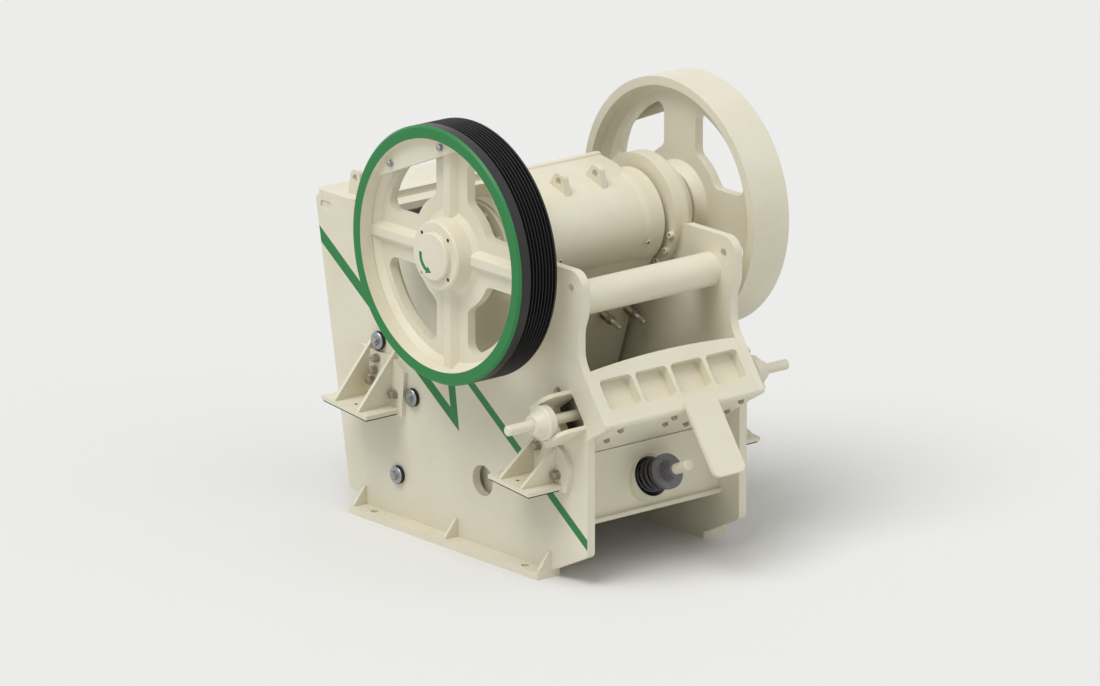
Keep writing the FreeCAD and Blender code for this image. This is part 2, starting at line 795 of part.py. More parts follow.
def make_pitman():
    """Swing frame: barrel on the eccentric, jaw back, toggle seat and tension lugs below."""
    body = new_body("Pitman")
    middle_radius = "(barrel_radius - barrel_step)"
    right = [(f"{BARREL_HALF}", f"barrel_radius - barrel_edge"),
             (f"{BARREL_HALF} - barrel_edge", "barrel_radius"),
             (f"{BARREL_HALF} - barrel_collar", "barrel_radius"),
             (f"{BARREL_HALF} - barrel_collar - barrel_step_run", middle_radius)]
    left = [(f"-({along})", radius) for along, radius in reversed(right)]
    revolve(body, [(f"-{BARREL_HALF}", "0"), (BARREL_HALF, "0"), *right, *left])
    seat_along = "toggle_length + motion_clearance"
    seat_low = to_pitman(*toggle_point(seat_along, "-toggle_seat_half"))
    seat_high = to_pitman(*toggle_point(seat_along, "toggle_seat_half"))
    lug = to_pitman("rod_pin_y", "rod_pin_z")
    corners = [
        (lug[0], f"{lug[1]} + 2 * pitman_lug_radius"),
        ("pitman_face - pitman_toe_run", "-pitman_foot - pitman_toe_drop"),
        ("pitman_face", "-pitman_foot"),
        ("pitman_face", "pitman_crown"),
        (f"{middle_radius} * cos(pitman_front_angle)",
         f"{middle_radius} * sin(pitman_front_angle)"),
        (f"-{middle_radius} * cos(pitman_rear_angle)",
         f"-{middle_radius} * sin(pitman_rear_angle)"),
        ("pitman_spine_high_y", "-pitman_spine_high", "pitman_spine_radius"),
        ("pitman_spine_low_y", "-pitman_spine_low", "pitman_spine_radius"),
        seat_high,
        seat_low,
    ]
    pad(body, "YZ_Plane", f"2 * {BARREL_HALF}", [corners], symmetric=True)
    shoulder = "-(housing_flange_radius + 2 * motion_clearance)"
    flanks = corners[:3] + [("pitman_face", shoulder), (spine_y(shoulder), shoulder)] + corners[7:]
    pad(body, "YZ_Plane", f"2 * {PITMAN_HALF}", [flanks], symmetric=True)
    lug_hole = "rod_pin_radius + throw + rod_pin_clearance"
    lug_root = f"{lug[1]} + pitman_lug_root"
    for side in ("", "-"):
        strap = [(f"{lug[0]} - pitman_lug_radius", lug[1]),
                 (f"{lug[0]} + pitman_lug_radius", lug[1]),
                 (f"{lug[0]} + pitman_lug_spread", lug_root),
                 (f"{lug[0]} - pitman_lug_radius", lug_root)]
        offset = f"{side}(pitman_lug_half_gap + pitman_lug_thickness / 2)"
        pad(body, "YZ_Plane", "pitman_lug_thickness", [strap], offset=offset, symmetric=True)
        pad(body, "YZ_Plane", "pitman_lug_thickness",
            circles=[(lug[0], lug[1], "pitman_lug_radius")], offset=offset, symmetric=True)
    pocket(body, "YZ_Plane", circles=[(lug[0], lug[1], lug_hole)])
    root, top = "barrel_radius - barrel_lug_root", "barrel_radius + barrel_lug_height"
    for side in ("", "-"):
        ear = [("-barrel_lug_height", root), ("barrel_lug_height", root),
               ("barrel_lug_top_half", top, "barrel_lug_corner"),
               ("-barrel_lug_top_half", top, "barrel_lug_corner")]
        pad(body, "YZ_Plane", "barrel_lug_thickness", [ear],
            circles=[("0", "barrel_radius + barrel_lug_height / 2", "barrel_lug_hole_radius")],
            offset=f"{side}barrel_lug_x", symmetric=True)
    pocket(body, "YZ_Plane", circles=[("0", "0", "eccentric_radius + seat_gap")])
    place_on_pitman(body)
    keep(body, "pitman")


def make_jaw_bolts():
    """Four sleeved bolts that draw the swing jaw plate back, standing out behind the pitman."""
    height = "-(pitman_spine_high + jaw_bolt_drop)"
    run = value("pitman_spine_low_y - pitman_spine_high_y")
    lean = math.degrees(math.atan2(run, value("pitman_spine_low - pitman_spine_high")))
    places = [f"{sign}{along}" for along in ("jaw_bolt_inner_x", f"({PITMAN_HALF} - jaw_bolt_edge)")
              for sign in ("", "-")]
    body = new_body("JawBolts")
    pad(body, "XY_Plane", "jaw_bolt_sleeve",
        circles=[(along, "0", "jaw_bolt_sleeve_radius") for along in places])
    pad(body, "XY_Plane", "jaw_bolt_nut",
        [hexagon(along, "jaw_bolt_nut_radius") for along in places], offset="jaw_bolt_sleeve")
    pad(body, "XY_Plane", "jaw_bolt_reach",
        circles=[(along, "0", "jaw_bolt_radius") for along in places])
    back = f"({spine_y(height)} - seat_gap)"
    forward = f"{back} * cos(swing_jaw_angle) - {height} * sin(swing_jaw_angle)"
    up = f"{back} * sin(swing_jaw_angle) + {height} * cos(swing_jaw_angle)"
    place(body, forward=f"{forward} - throw * cos(counterweight_angle)",
          up=f"shaft_height + {up} - throw * sin(counterweight_angle)",
          tilt=f"swing_jaw_angle + {90 + lean}")
    keep(body, "jaw_bolts")


def make_bearings():
    """Bearing housings through the side plates, with covers over their outer ends."""
    body = new_body("Housing")
    inner_x = f"{PLATE_INNER} - housing_flange_thickness"
    bore = "journal_radius + seat_gap"
    revolve(body, [(inner_x, bore), (HOUSING_FACE, bore),
                   (HOUSING_FACE, "housing_radius"), (PLATE_INNER, "housing_radius"),
                   (PLATE_INNER, "housing_flange_radius"), (inner_x, "housing_flange_radius")])
    skirt = [("-pedestal_foot_half", "-pedestal_foot_drop", "pedestal_corner_radius"),
             ("pedestal_foot_half", "-pedestal_foot_drop", "pedestal_corner_radius"),
             ("housing_radius", "0"), ("-housing_radius", "0")]
    pad(body, "YZ_Plane", "housing_reach", [skirt], offset="frame_half_width")
    pocket(body, "YZ_Plane", circles=[("0", "0", bore)])
    place(body, up="shaft_height")
    pair(body, "bearing_housing")
    cover = new_body("Cover")
    neck_start = f"{HOUSING_FACE} + cover_thickness"
    revolve(cover, [(HOUSING_FACE, bore), (COVER_END, bore), (COVER_END, "cover_neck_radius"),
                    (neck_start, "cover_neck_radius"), (neck_start, "cover_radius"),
                    (HOUSING_FACE, "cover_radius")])
    place(cover, up="shaft_height")
    pair(cover, "bearing_cover")


def make_shaft():
    """Eccentric shaft: two journals in line and a thicker middle set off by the throw."""
    body = new_body("Shaft")
    pad(body, "YZ_Plane", f"2 * {SHAFT_END}", circles=[("0", "0", "journal_radius")],
        symmetric=True)
    pad(body, "YZ_Plane", f"2 * {BARREL_HALF}",
        circles=[("-throw * cos(counterweight_angle)", "-throw * sin(counterweight_angle)",
                  "eccentric_radius")], symmetric=True)
    place(body, up="shaft_height")
    keep(body, "eccentric_shaft")


def draw_spoke_window(sketch):
    """Opening between two spokes: parallel sides, concentric ends and rounded corners."""
    side, rounding = value("spoke_half_width"), value("window_corner_radius")
    outer_radius = f"{RIM_ROOT} - window_rim_margin"
    inner, outer = value("window_inner_radius"), value(outer_radius)
    off = side + rounding
    far = math.sqrt((outer - rounding) ** 2 - off ** 2)
    near = math.sqrt((inner + rounding) ** 2 - off ** 2)
    grow, shrink = outer / (outer - rounding), inner / (inner + rounding)
    low_far, low_near = Vector(far, off, 0), Vector(near, off, 0)
    high_far, high_near = Vector(off, far, 0), Vector(off, near, 0)
    origin = Vector(0, 0, 0)
    low_line = Part.LineSegment(Vector(near, side, 0), Vector(far, side, 0))
    high_line = Part.LineSegment(Vector(side, far, 0), Vector(side, near, 0))
    shapes = [
        low_line,
        arc_between(low_far, rounding, Vector(far, side, 0), low_far * grow),
        arc_between(origin, outer, low_far * grow, high_far * grow),
        arc_between(high_far, rounding, high_far * grow, Vector(side, far, 0)),
        high_line,
        arc_between(high_near, rounding, Vector(side, near, 0), high_near * shrink),
        arc_between(origin, inner, low_near * shrink, high_near * shrink),
        arc_between(low_near, rounding, low_near * shrink, Vector(near, side, 0)),
    ]
    ids = [sketch.addGeometry(shape, False) for shape in shapes]
    low, first_round, outer_arc, second_round, high, third_round, inner_arc, last_round = ids
    joints = [(low, END, first_round, START), (first_round, END, outer_arc, START),
              (outer_arc, END, second_round, START), (second_round, END, high, START),
              (high, END, third_round, START), (third_round, END, inner_arc, END),
              (inner_arc, START, last_round, START), (last_round, END, low, START)]
    for joint in joints:
        sketch.addConstraint(Sketcher.Constraint("Tangent", *joint))
    for arc in (outer_arc, inner_arc):
        sketch.addConstraint(Sketcher.Constraint("Coincident", arc, CENTRE, -1, 1))
    sketch.addConstraint(Sketcher.Constraint("Horizontal", low))
    sketch.addConstraint(Sketcher.Constraint("Vertical", high))
    side_low = sketch.addConstraint(
        Sketcher.Constraint("DistanceY", -1, 1, low, START, side))
    side_high = sketch.addConstraint(
        Sketcher.Constraint("DistanceX", -1, 1, high, START, side))
    for index in (side_low, side_high):
        bind(sketch, f"Constraints[{index}]", "spoke_half_width")
    for arc in (first_round, second_round, third_round, last_round):
        bind_radius(sketch, arc, "window_corner_radius")
    bind_radius(sketch, outer_arc, outer_radius)
    bind_radius(sketch, inner_arc, "window_inner_radius")


def make_flywheel(name, label, grooved):
    """Spoked flywheel; axial places count outwards from the rim's inner edge."""
    web_out = "rim_width - web_recess"
    web_in = f"{web_out} - web_thickness"
    bore = "journal_radius + seat_gap"
    tread = []
    if grooved:
        tread.append(("rim_width - band_bevel", "wheel_radius"))
        for index in reversed(range(int(value("groove_count")))):
            middle = f"groove_margin + ({index} + 0.5) * groove_pitch"
            tread.extend([(f"{middle} + groove_mouth / 2", "wheel_radius"),
                          (f"{middle} + groove_floor / 2", "wheel_radius - groove_depth"),
                          (f"{middle} - groove_floor / 2", "wheel_radius - groove_depth"),
                          (f"{middle} - groove_mouth / 2", "wheel_radius")])
        tread.append(("0", "wheel_radius"))
        face_edge = ("rim_width", "wheel_radius - band_bevel")
    else:
        face_edge = ("rim_width", "wheel_radius")
        tread.append(("0", "wheel_radius"))
    body = new_body(name)
    hub_foot = "hub_radius + hub_draft"
    hub_side = "hub_draft * hub_root_chamfer / web_recess"
    revolve(body, [
        ("hub_back", bore),
        ("rim_width", bore),
        ("rim_width", "hub_radius - hub_edge_chamfer"),
        ("rim_width - hub_edge_chamfer", "hub_radius"),
        (f"{web_out} + hub_root_chamfer", f"{hub_foot} - {hub_side}"),
        (web_out, f"{hub_foot} + hub_root_chamfer"),
        (web_out, f"{RIM_ROOT} - rim_root_chamfer"),
        (f"{web_out} + rim_root_chamfer",
         f"{RIM_ROOT} + rim_draft * rim_root_chamfer / web_recess"),
        ("rim_width", RIM_INNER),
        face_edge,
        *tread,
        ("0", RIM_INNER),
        (f"{web_in} - rim_root_chamfer", f"{RIM_ROOT} + rim_draft * rim_root_chamfer / ({web_in})"),
        (web_in, f"{RIM_ROOT} - rim_root_chamfer"),
        (web_in, f"{hub_foot} + hub_root_chamfer"),
        (f"{web_in} - hub_root_chamfer", hub_foot),
        ("hub_back", "hub_radius"),
    ])
    rib_top = f"{web_out} + spoke_rib_height"
    rib = [(web_in, "-spoke_rib_foot_half"), (web_out, "-spoke_rib_foot_half"),
           (rib_top, "-spoke_rib_half_width", "spoke_rib_edge"),
           (rib_top, "spoke_rib_half_width", "spoke_rib_edge"),
           (web_out, "spoke_rib_foot_half"), (web_in, "spoke_rib_foot_half")]
    rib_root = "journal_radius + web_thickness"
    rib_pad = pad(body, "XZ_Plane", f"{RIM_INNER} - ({rib_root})", [rib], offset=f"-{RIM_INNER}")
    spread_round(body, rib_pad)
    sketch = new_sketch(body, "YZ_Plane")
    draw_spoke_window(sketch)
    doc.recompute()
    before = body.Shape.Volume
    cut = body.newObject("PartDesign::Pocket", "SpokeWindow")
    cut.Profile = sketch
    cut.Type = 1
    cut.Midplane = True
    spread_round(body, cut)
    doc.recompute()
    if body.Shape.Volume >= before:
        raise RuntimeError("the spoke windows remove nothing")
    side = -1 if grooved else 1
    if grooved:
        body.Placement = FreeCAD.Placement(
            Vector(0, 0, 0), FreeCAD.Rotation(Vector(0, 0, 1), 180))
    place(body, along=f"{side} * {WHEEL_START}", up="shaft_height")
    keep(body, label)


def spread_round(body, feature):
    """Repeat a feature on the four spokes about the wheel's axis."""
    pattern = body.newObject("PartDesign::PolarPattern", "FourSpokes")
    pattern.Originals = [feature]
    pattern.Axis = (body.Origin.OriginFeatures[0], [""])
    pattern.Angle = 360
    pattern.Occurrences = 4
    body.Tip = pattern
    return pattern


def make_counterweights():
    """Segment weights bolted inside the rims, opposite the shaft's throw."""
    rim = f"{RIM_ROOT} + rim_draft * spoke_rib_height / web_recess - seat_gap"
    back = f"{SHAFT_END} - web_recess + spoke_rib_height + seat_gap"
    face = f"{SHAFT_END} - weight_face_inset"
    chord_reach = f"({RIM_ROOT} - weight_depth)"
    body = new_body("Weight")
    sketch = new_sketch(body, "YZ_Plane")
    radius, chord = value(rim), value(chord_reach)
    half = math.sqrt(radius ** 2 - chord ** 2)
    low, high = Vector(chord, -half, 0), Vector(chord, half, 0)
    arc = sketch.addGeometry(arc_between(Vector(0, 0, 0), radius, low, high), False)
    line = sketch.addGeometry(Part.LineSegment(high, low), False)
    sketch.addConstraint([
        Sketcher.Constraint("Coincident", arc, END, line, START),
        Sketcher.Constraint("Coincident", line, END, arc, START),
        Sketcher.Constraint("Coincident", arc, CENTRE, -1, 1),
        Sketcher.Constraint("Vertical", line),
    ])
    bind_radius(sketch, arc, rim)
    index = sketch.addConstraint(Sketcher.Constraint("DistanceX", -1, 1, line, START, chord))
    bind(sketch, f"Constraints[{index}]", chord_reach)
    block = body.newObject("PartDesign::Pad", "Pad")
    block.Profile = sketch
    bind(block, "Length", f"{face} - ({back})")
    body.Tip = block
    place(body, along=back, up="shaft_height",
          tilt="counterweight_angle")
    pair(body, "counterweight")


def make_hub_caps():
    """Round caps over the shaft ends."""
    body = new_body("HubCap")
    revolve(body, [(SHAFT_END, "0"), (f"{SHAFT_END} + hub_cap_height", "0"),
                   (f"{SHAFT_END} + hub_cap_height", "hub_cap_radius - hub_cap_edge"),
                   (f"{SHAFT_END} + hub_cap_height - hub_cap_edge", "hub_cap_radius"),
                   (SHAFT_END, "hub_cap_radius")])
    place(body, up="shaft_height")
    pair(body, "hub_cap")


def make_toggle_beam():
    """Box-shaped rear beam with pockets in its rear face and a channel for the wedges."""
    width = f"2 * {PLATE_INNER}"
    body = new_body("ToggleBeam")
    pad(body, "YZ_Plane", width, [[
        ("0", "0", "beam_corner_radius"),
        ("beam_floor_depth", "0"),
        ("beam_floor_depth", "channel_low"),
        ("beam_block_depth", "channel_low"),
        ("beam_block_depth", "channel_high"),
        ("beam_roof_depth", "channel_high"),
        ("beam_roof_depth", "beam_face_height"),
        ("0", "beam_face_height", "beam_corner_radius"),
    ]], symmetric=True)
    half, low = PLATE_INNER, "beam_face_height - beam_crown_root"
    slope = f"sqrt({half} * {half} + 4 * beam_crown * beam_crown)"
    pad(body, "XZ_Plane", "beam_roof_depth", [[
        (f"-{half}", low), (half, low), (half, "beam_face_height"),
        ("0", "beam_face_height + 2 * beam_crown",
         f"beam_crown_fill * {slope} * {half} / (2 * beam_crown)"),
        (f"-{half}", "beam_face_height"),
    ]], offset="-beam_roof_depth")
    count = int(value("pocket_count"))
    pitch = f"({width} - pocket_rib) / pocket_count"
    holes = []
    for index in range(count):
        left = f"-{PLATE_INNER} + pocket_rib + {index} * {pitch}"
        holes.append(rectangle(left, "pocket_low", f"{left} + {pitch} - pocket_rib",
                               "pocket_high", "pocket_corner_radius"))
    pocket(body, "XZ_Plane", "pocket_depth", holes, offset="0", along_normal=False)
    place_on_beam(body)
    keep(body, "toggle_beam")


def place_on_beam(item):
    """Stand a piece in the toggle beam's tilted frame."""
    place(item, forward="beam_corner_y", up="beam_corner_z", tilt="beam_angle")


def make_adjuster():
    """Wedges in the beam's channel, the seat block in front of them and the toggle plate."""
    low, high = "channel_low + channel_play", "channel_high - channel_play"
    back = "beam_block_depth + channel_play"
    thin = f"wedge_thick_end - ({WEDGE_OUTER} - wedge_inner_x) * tan(wedge_slope)"
    wedge = new_body("Wedge")
    pad(wedge, "XY_Plane", f"{high} - ({low})",
        [[("wedge_inner_x", back), (WEDGE_OUTER, back),
          (WEDGE_OUTER, f"{back} + wedge_thick_end"),
          ("wedge_inner_x", f"{back} + {thin}")]], offset=low)
    place_on_beam(wedge)
    pair(wedge, "adjusting_wedge")
    seat = new_body("ToggleSeat")
    rest_thin = f"{back} + {thin} + seat_gap"
    rest_thick = f"{back} + wedge_thick_end + seat_gap"
    pad(seat, "XY_Plane", f"{high} - ({low})",
        [[(f"-{WEDGE_OUTER}", rest_thick), ("-wedge_inner_x", rest_thin),
          ("wedge_inner_x", rest_thin), (WEDGE_OUTER, rest_thick),
          (WEDGE_OUTER, SEAT_FRONT), (f"-{WEDGE_OUTER}", SEAT_FRONT)]], offset=low)
    pocket(seat, "YZ_Plane", circles=[(TOGGLE_REAR, CHANNEL_MIDDLE,
                                       "toggle_end_radius + seat_gap")])
    place_on_beam(seat)
    keep(seat, "toggle_seat")
    toggle = new_body("Toggle")
    front = f"({TOGGLE_REAR} + toggle_length - 2 * toggle_end_radius)"
    pad(toggle, "YZ_Plane", f"2 * {TOGGLE_HALF}",
        circles=[(TOGGLE_REAR, CHANNEL_MIDDLE, "toggle_end_radius")], symmetric=True)
    ends = [TOGGLE_REAR, f"{TOGGLE_REAR} + toggle_taper", f"{front} - toggle_taper", front]
    halves = ["toggle_neck_half", "toggle_waist_half", "toggle_waist_half", "toggle_neck_half"]
    under = [(along, f"{CHANNEL_MIDDLE} - {half}") for along, half in zip(ends, halves)]
    over = [(along, f"{CHANNEL_MIDDLE} + {half}") for along, half in zip(ends, halves)]
    pad(toggle, "YZ_Plane", f"2 * {TOGGLE_HALF}", [under + over[::-1]], symmetric=True)
    pad(toggle, "YZ_Plane", f"2 * {TOGGLE_HALF}",
        circles=[(front, CHANNEL_MIDDLE, "toggle_end_radius")], symmetric=True)
    place_on_beam(toggle)
    keep(toggle, "toggle_plate")


def make_wedge_cylinders():
    """Setting cylinders outside the side plates, held between two shelf plates."""
    shelf = new_body("Shelf")
    outer = "frame_half_width + shelf_reach"
    outline = [("frame_half_width", "beam_block_depth"),
               (outer, "beam_block_depth", "shelf_corner_radius"),
               (outer, "beam_roof_depth", "shelf_corner_radius"),
               ("frame_half_width", "beam_roof_depth")]
    for low in ("channel_low - shelf_thickness", "channel_high"):
        pad(shelf, "XY_Plane", "shelf_thickness", [outline], offset=low)
    place_on_beam(shelf)
    pair(shelf, "adjuster_shelves")
    body = new_body("SettingCylinder")
    flange = "(channel_high - channel_low) / 2 - seat_gap"
    flange_start = "frame_half_width + cylinder_gap"
    flange_end = f"{flange_start} + cylinder_flange_thickness"
    nose_end = f"{flange_end} + cylinder_nose_length"
    rod_end = f"{nose_end} + cylinder_rod_length"
    revolve(body, [
        (f"{WEDGE_OUTER} + seat_gap", "0"),
        (rod_end, "0"),
        (rod_end, "cylinder_rod_radius - cylinder_rod_edge"),
        (f"{rod_end} - cylinder_rod_edge", "cylinder_rod_radius"),
        (nose_end, "cylinder_rod_radius"),
        (nose_end, "cylinder_nose_tip_radius"),
        (flange_end, "cylinder_nose_radius"),
        (flange_end, f"{flange} - cylinder_flange_edge"),
        (f"{flange_end} - cylinder_flange_edge", flange),
        (f"{flange_start} + cylinder_flange_edge", flange),
        (flange_start, f"{flange} - cylinder_flange_edge"),
        (flange_start, "cylinder_rod_radius"),
        (f"{WEDGE_OUTER} + seat_gap", "cylinder_rod_radius"),
    ])
    depth, rise = "(beam_block_depth + beam_roof_depth) / 2", CHANNEL_MIDDLE
    forward, up = beam_point(depth, rise)
    place(body, forward=forward, up=up)
    pair(body, "setting_cylinder")


def place_on_rod(item):
    """Stand a piece in the tension rod's frame: its Z runs from the toe pin to the rear."""
    place(item, forward="rod_pin_y", up="rod_pin_z", tilt="90 - rod_angle")


def revolve_upright(body, corners):
    """Turn an outline of (radius, height) corners about the body's Z axis."""
    sketch = new_sketch(body, "XZ_Plane")
    draw_outline(sketch, corners)
    feature = body.newObject("PartDesign::Revolution", "Revolution")
    feature.Profile = sketch
    feature.ReferenceAxis = (sketch, ["V_Axis"])
    feature.Angle = 360
    body.Tip = feature
    return feature


def ring(name, label, inner, outer, low, high):
    """Plain ring round the tension rod."""
    body = new_body(name)
    revolve_upright(body, [(inner, low), (outer, low), (outer, high), (inner, high)])
    place_on_rod(body)
    return keep(body, label)


def make_tension_gear():
    """Rear wall with its spring pocket, and the rod, spring, washer and nut through it."""
    wall = new_body("RearWall")
    front = "rear_wall_y + rear_wall_thickness"
    flange_low = "rear_wall_low_z - rear_wall_flange_thickness"
    pad(wall, "YZ_Plane", f"2 * {PLATE_INNER}", [[
        ("rear_wall_y - rear_wall_flange_reach", flange_low),
        (f"{front} + rear_wall_flange_inside", flange_low),
        (f"{front} + rear_wall_flange_inside", "rear_wall_low_z"),
        (front, "rear_wall_low_z"),
        (front, "rear_wall_top_z"),
        ("rear_wall_y", "rear_wall_top_z"),
        ("rear_wall_y", "rear_wall_low_z"),
        ("rear_wall_y - rear_wall_flange_reach", "rear_wall_low_z"),
    ]], symmetric=True)
    place(wall)
    bore = doc.addObject("Part::Cylinder", "PocketBore")
    bind(bore, "Radius", "spring_pocket_radius + spring_pocket_wall + seat_gap")
    bind(bore, "Height", "rod_length")
    place_on_rod(bore)
    pierced = doc.addObject("Part::Cut", "PiercedWall")
    pierced.Base = wall
    pierced.Tool = bore
    keep(pierced, "rear_wall")
    cup = new_body("SpringPocket")
    outer = "spring_pocket_radius + spring_pocket_wall"
    revolve_upright(cup, [
        ("rod_radius + spring_seat_bore", "spring_front - spring_seat_thickness"),
        (outer, "spring_front - spring_seat_thickness"),
        (outer, "spring_pocket_end"),
        ("spring_pocket_radius", "spring_pocket_end"),
        ("spring_pocket_radius", "spring_front"),
        ("rod_radius + spring_seat_bore", "spring_front"),
    ])
    place_on_rod(cup)
    keep(cup, "spring_pocket")
    rod = new_body("TensionRod")
    revolve_upright(rod, [("0", "0"), ("rod_radius", "0"), ("rod_radius", "rod_length - rod_edge"),
                          ("rod_radius - rod_edge", "rod_length"), ("0", "rod_length")])
    pad(rod, "YZ_Plane", "2 * rod_eye_half_width", circles=[("0", "0", "rod_eye_radius")],
        symmetric=True)
    reach = "pitman_lug_half_gap + pitman_lug_thickness + rod_pin_overhang"
    pad(rod, "YZ_Plane", f"2 * ({reach})", circles=[("0", "0", "rod_pin_radius")],
        symmetric=True)
    place_on_rod(rod)
    keep(rod, "tension_rod")
    ring("Spring", "tension_spring", "spring_outer_radius - 2 * spring_wire_radius",
         "spring_outer_radius", "spring_front", SPRING_REAR)
    bore = "rod_radius + seat_gap"
    base = f"({SPRING_REAR} + spring_washer_thickness)"
    ring("SpringWasher", "spring_washer", bore, "spring_washer_radius", SPRING_REAR, base)
    nut = new_body("RodNut")
    pad(nut, "XY_Plane", "rod_nut_washer", circles=[("0", "0", "rod_nut_washer_radius"),
                                                    ("0", "0", bore)], offset=base)
    pad(nut, "XY_Plane", "rod_nut_thickness", [hexagon("0", "rod_nut_radius")],
        circles=[("0", "0", bore)], offset=f"{base} + rod_nut_washer")
    place_on_rod(nut)
    keep(nut, "rod_nut")


def make_guard():
    """Flat guard plate hanging down from the toggle beam's rear face."""
    body = new_body("Guard")
    pad(body, "XZ_Plane", "guard_thickness",
        [rectangle("guard_middle_x - guard_width / 2", "-guard_drop",
                   "guard_middle_x + guard_width / 2", "guard_rise", "guard_corner_radius")])
    place_on_beam(body)
    keep(body, "rear_guard_plate")


def make_cross_tube():
    """Round tube that ties the two rear ears together."""
    body = new_body("CrossTube")
    pad(body, "YZ_Plane", f"2 * {PLATE_INNER}",
        circles=[("0", "0", "cross_tube_radius"),
                 ("0", "0", "cross_tube_radius - cross_tube_wall")], symmetric=True)
    place(body, forward="cross_tube_y", up="shaft_height - cross_tube_drop")
    keep(body, "cross_tube")


def make_top_cap():
    """Cover plate over the front wall, with a lifting lug near each end."""
    body = new_body("TopCap")
    pad(body, "XY_Plane", "cap_thickness",
        [rectangle("-frame_half_width", "front_wall_y", "frame_half_width", "front_top_y",
                   "cap_corner_radius")], offset=FRONT_TOP)
    low = f"{FRONT_TOP} + cap_thickness"
    top = f"{low} + lug_height"
    middle = "(lug_rear_y + lug_front_y) / 2"
    for side in ("", "-"):
        lug = [("lug_rear_y", low), ("lug_front_y", low),
               (f"{middle} + lug_top_radius", top, "lug_top_radius"),
               (f"{middle} - lug_top_radius", top, "lug_top_radius")]
        pad(body, "YZ_Plane", "lug_thickness", [lug],
            circles=[(middle, f"{top} - lug_hole_drop", "lug_hole_radius")],
            offset=f"{side}(frame_half_width - lug_inset)", symmetric=True)
    place(body)
    keep(body, "top_cap")


def make_bracket(name, label, length, gusset, forward, up, flange):
    """Tilted shelf bracket on the side plate: flange, plate and two gussets."""
    body = new_body(name)
    pad(body, "YZ_Plane", "bracket_flange_thickness", [flange], offset="frame_half_width")
    root = "frame_half_width + bracket_flange_thickness"
    tip = f"{root} + bracket_reach - bracket_flange_thickness"
    pad(body, "XY_Plane", "bracket_plate_thickness", [rectangle(root, "0", tip, length)],
        offset="-bracket_plate_thickness")
    for share in ("bracket_rear_share", "bracket_front_share"):
        pad(body, "XZ_Plane", "bracket_gusset_thickness", [gusset],
            offset=f"-({share} * {length})", symmetric=True)
    place(body, forward=forward, up=up, tilt="bracket_angle")
    pair(body, label)
    rubber = new_body(f"{name}Pad")
    pad(rubber, "XY_Plane", "pad_thickness",
        [rectangle(f"{root} + pad_inset", "pad_inset", f"{tip} - pad_inset",
                   f"{length} - pad_inset")], offset="-bracket_plate_thickness - pad_thickness")
    place(rubber, forward=forward, up=up, tilt="bracket_angle")
    pair(rubber, f"{label}_pad")


def make_brackets():
    """Motor bracket towards the feed end and the smaller one at the rear, on both sides."""
    root = "frame_half_width + bracket_flange_thickness"
    toe = [(root, "0"), (f"{root} + bracket_gusset_reach", "0"),
           (f"{root} + bracket_gusset_reach", "weld_root")]
    flange_end = "front_bracket_length - front_flange_shift"
    front_flange = [
        ("-front_flange_shift", "-front_flange_drop"), (flange_end, "-front_flange_drop"),
        (flange_end, "front_flange_height"),
        ("front_flange_corner - front_flange_shift", "front_flange_height"),
        ("-front_flange_shift", "front_flange_height - front_flange_corner_rise")]
    front_gusset = toe + [("frame_half_width + weld_root", "front_gusset_height"),
                          ("frame_half_width", "front_gusset_height"),
                          ("frame_half_width", "front_flange_height"),
                          (root, "front_flange_height")]
    make_bracket("FrontBracket", "front_bracket", "front_bracket_length", front_gusset,
                 "front_bracket_y", "front_bracket_z", front_flange)
    rear_flange = [
        ("-rear_flange_foot", "-rear_flange_drop"), ("rear_bracket_length", "-rear_flange_drop"),
        ("rear_bracket_length", "rear_flange_height"),
        ("rear_flange_corner", "rear_flange_height", "rear_flange_radius"),
        ("-rear_flange_shoulder", "rear_flange_height - rear_flange_corner_rise",
         "rear_flange_radius")]
    rear_gusset = toe + [(f"{root} + weld_root", "rear_gusset_height"),
                         (root, "rear_gusset_height")]
    make_bracket("RearBracket", "rear_bracket", "rear_bracket_length", rear_gusset,
                 "rear_bracket_y", "rear_bracket_z", rear_flange)


def make_liner_bolts():
    """Big washered bolts that hold the cheek plates, on each side plate."""
    body = new_body("LinerBolts")
    places = [("liner_high_y", "liner_high_z"), ("liner_middle_y", "liner_middle_z"),
              ("liner_low_y", "liner_low_z")]
    pad(body, "YZ_Plane", "liner_washer_thickness", offset="frame_half_width",
        circles=[(across, up, "liner_washer_radius") for across, up in places])
    pad(body, "YZ_Plane", "liner_washer_thickness + liner_head_height",
        offset="frame_half_width",
        circles=[(across, up, "liner_head_radius") for across, up in places])
    place(body)
    pair(body, "liner_bolts")


def make_all():
    """Build every sub-part of the crusher."""
    make_side_plates()
    make_feet()
    make_front_wall()
    make_jaws()
    make_cheek_plates()
    make_pitman()
    make_jaw_bolts()
    make_bearings()
    make_shaft()
    make_flywheel("DriveWheel", "drive_flywheel", grooved=True)
    make_flywheel("PlainWheel", "plain_flywheel", grooved=False)
    make_counterweights()
    make_hub_caps()
    make_toggle_beam()
    make_adjuster()
    make_wedge_cylinders()
    make_tension_gear()
    make_guard()
    make_cross_tube()
    make_top_cap()
    make_brackets()
    make_liner_bolts()


def write_parts():
    """Check every object of the document, then write one STEP file for each sub-part."""
    doc.recompute()
    failed = [item.Label for item in doc.Objects
              if "Invalid" in item.State or "Error" in item.State]
    failed += [item.Label for item in sub_parts
               if item.Shape.isNull() or not item.Shape.isValid()]
    if failed:
        raise RuntimeError(f"these objects failed: {failed}")
    os.makedirs("parts", exist_ok=True)
    for item in sub_parts:
        item.Shape.exportStep(f"parts/{item.Label}.step")
    print(f"{len(sub_parts)} sub-parts written")


make_all()
write_parts()
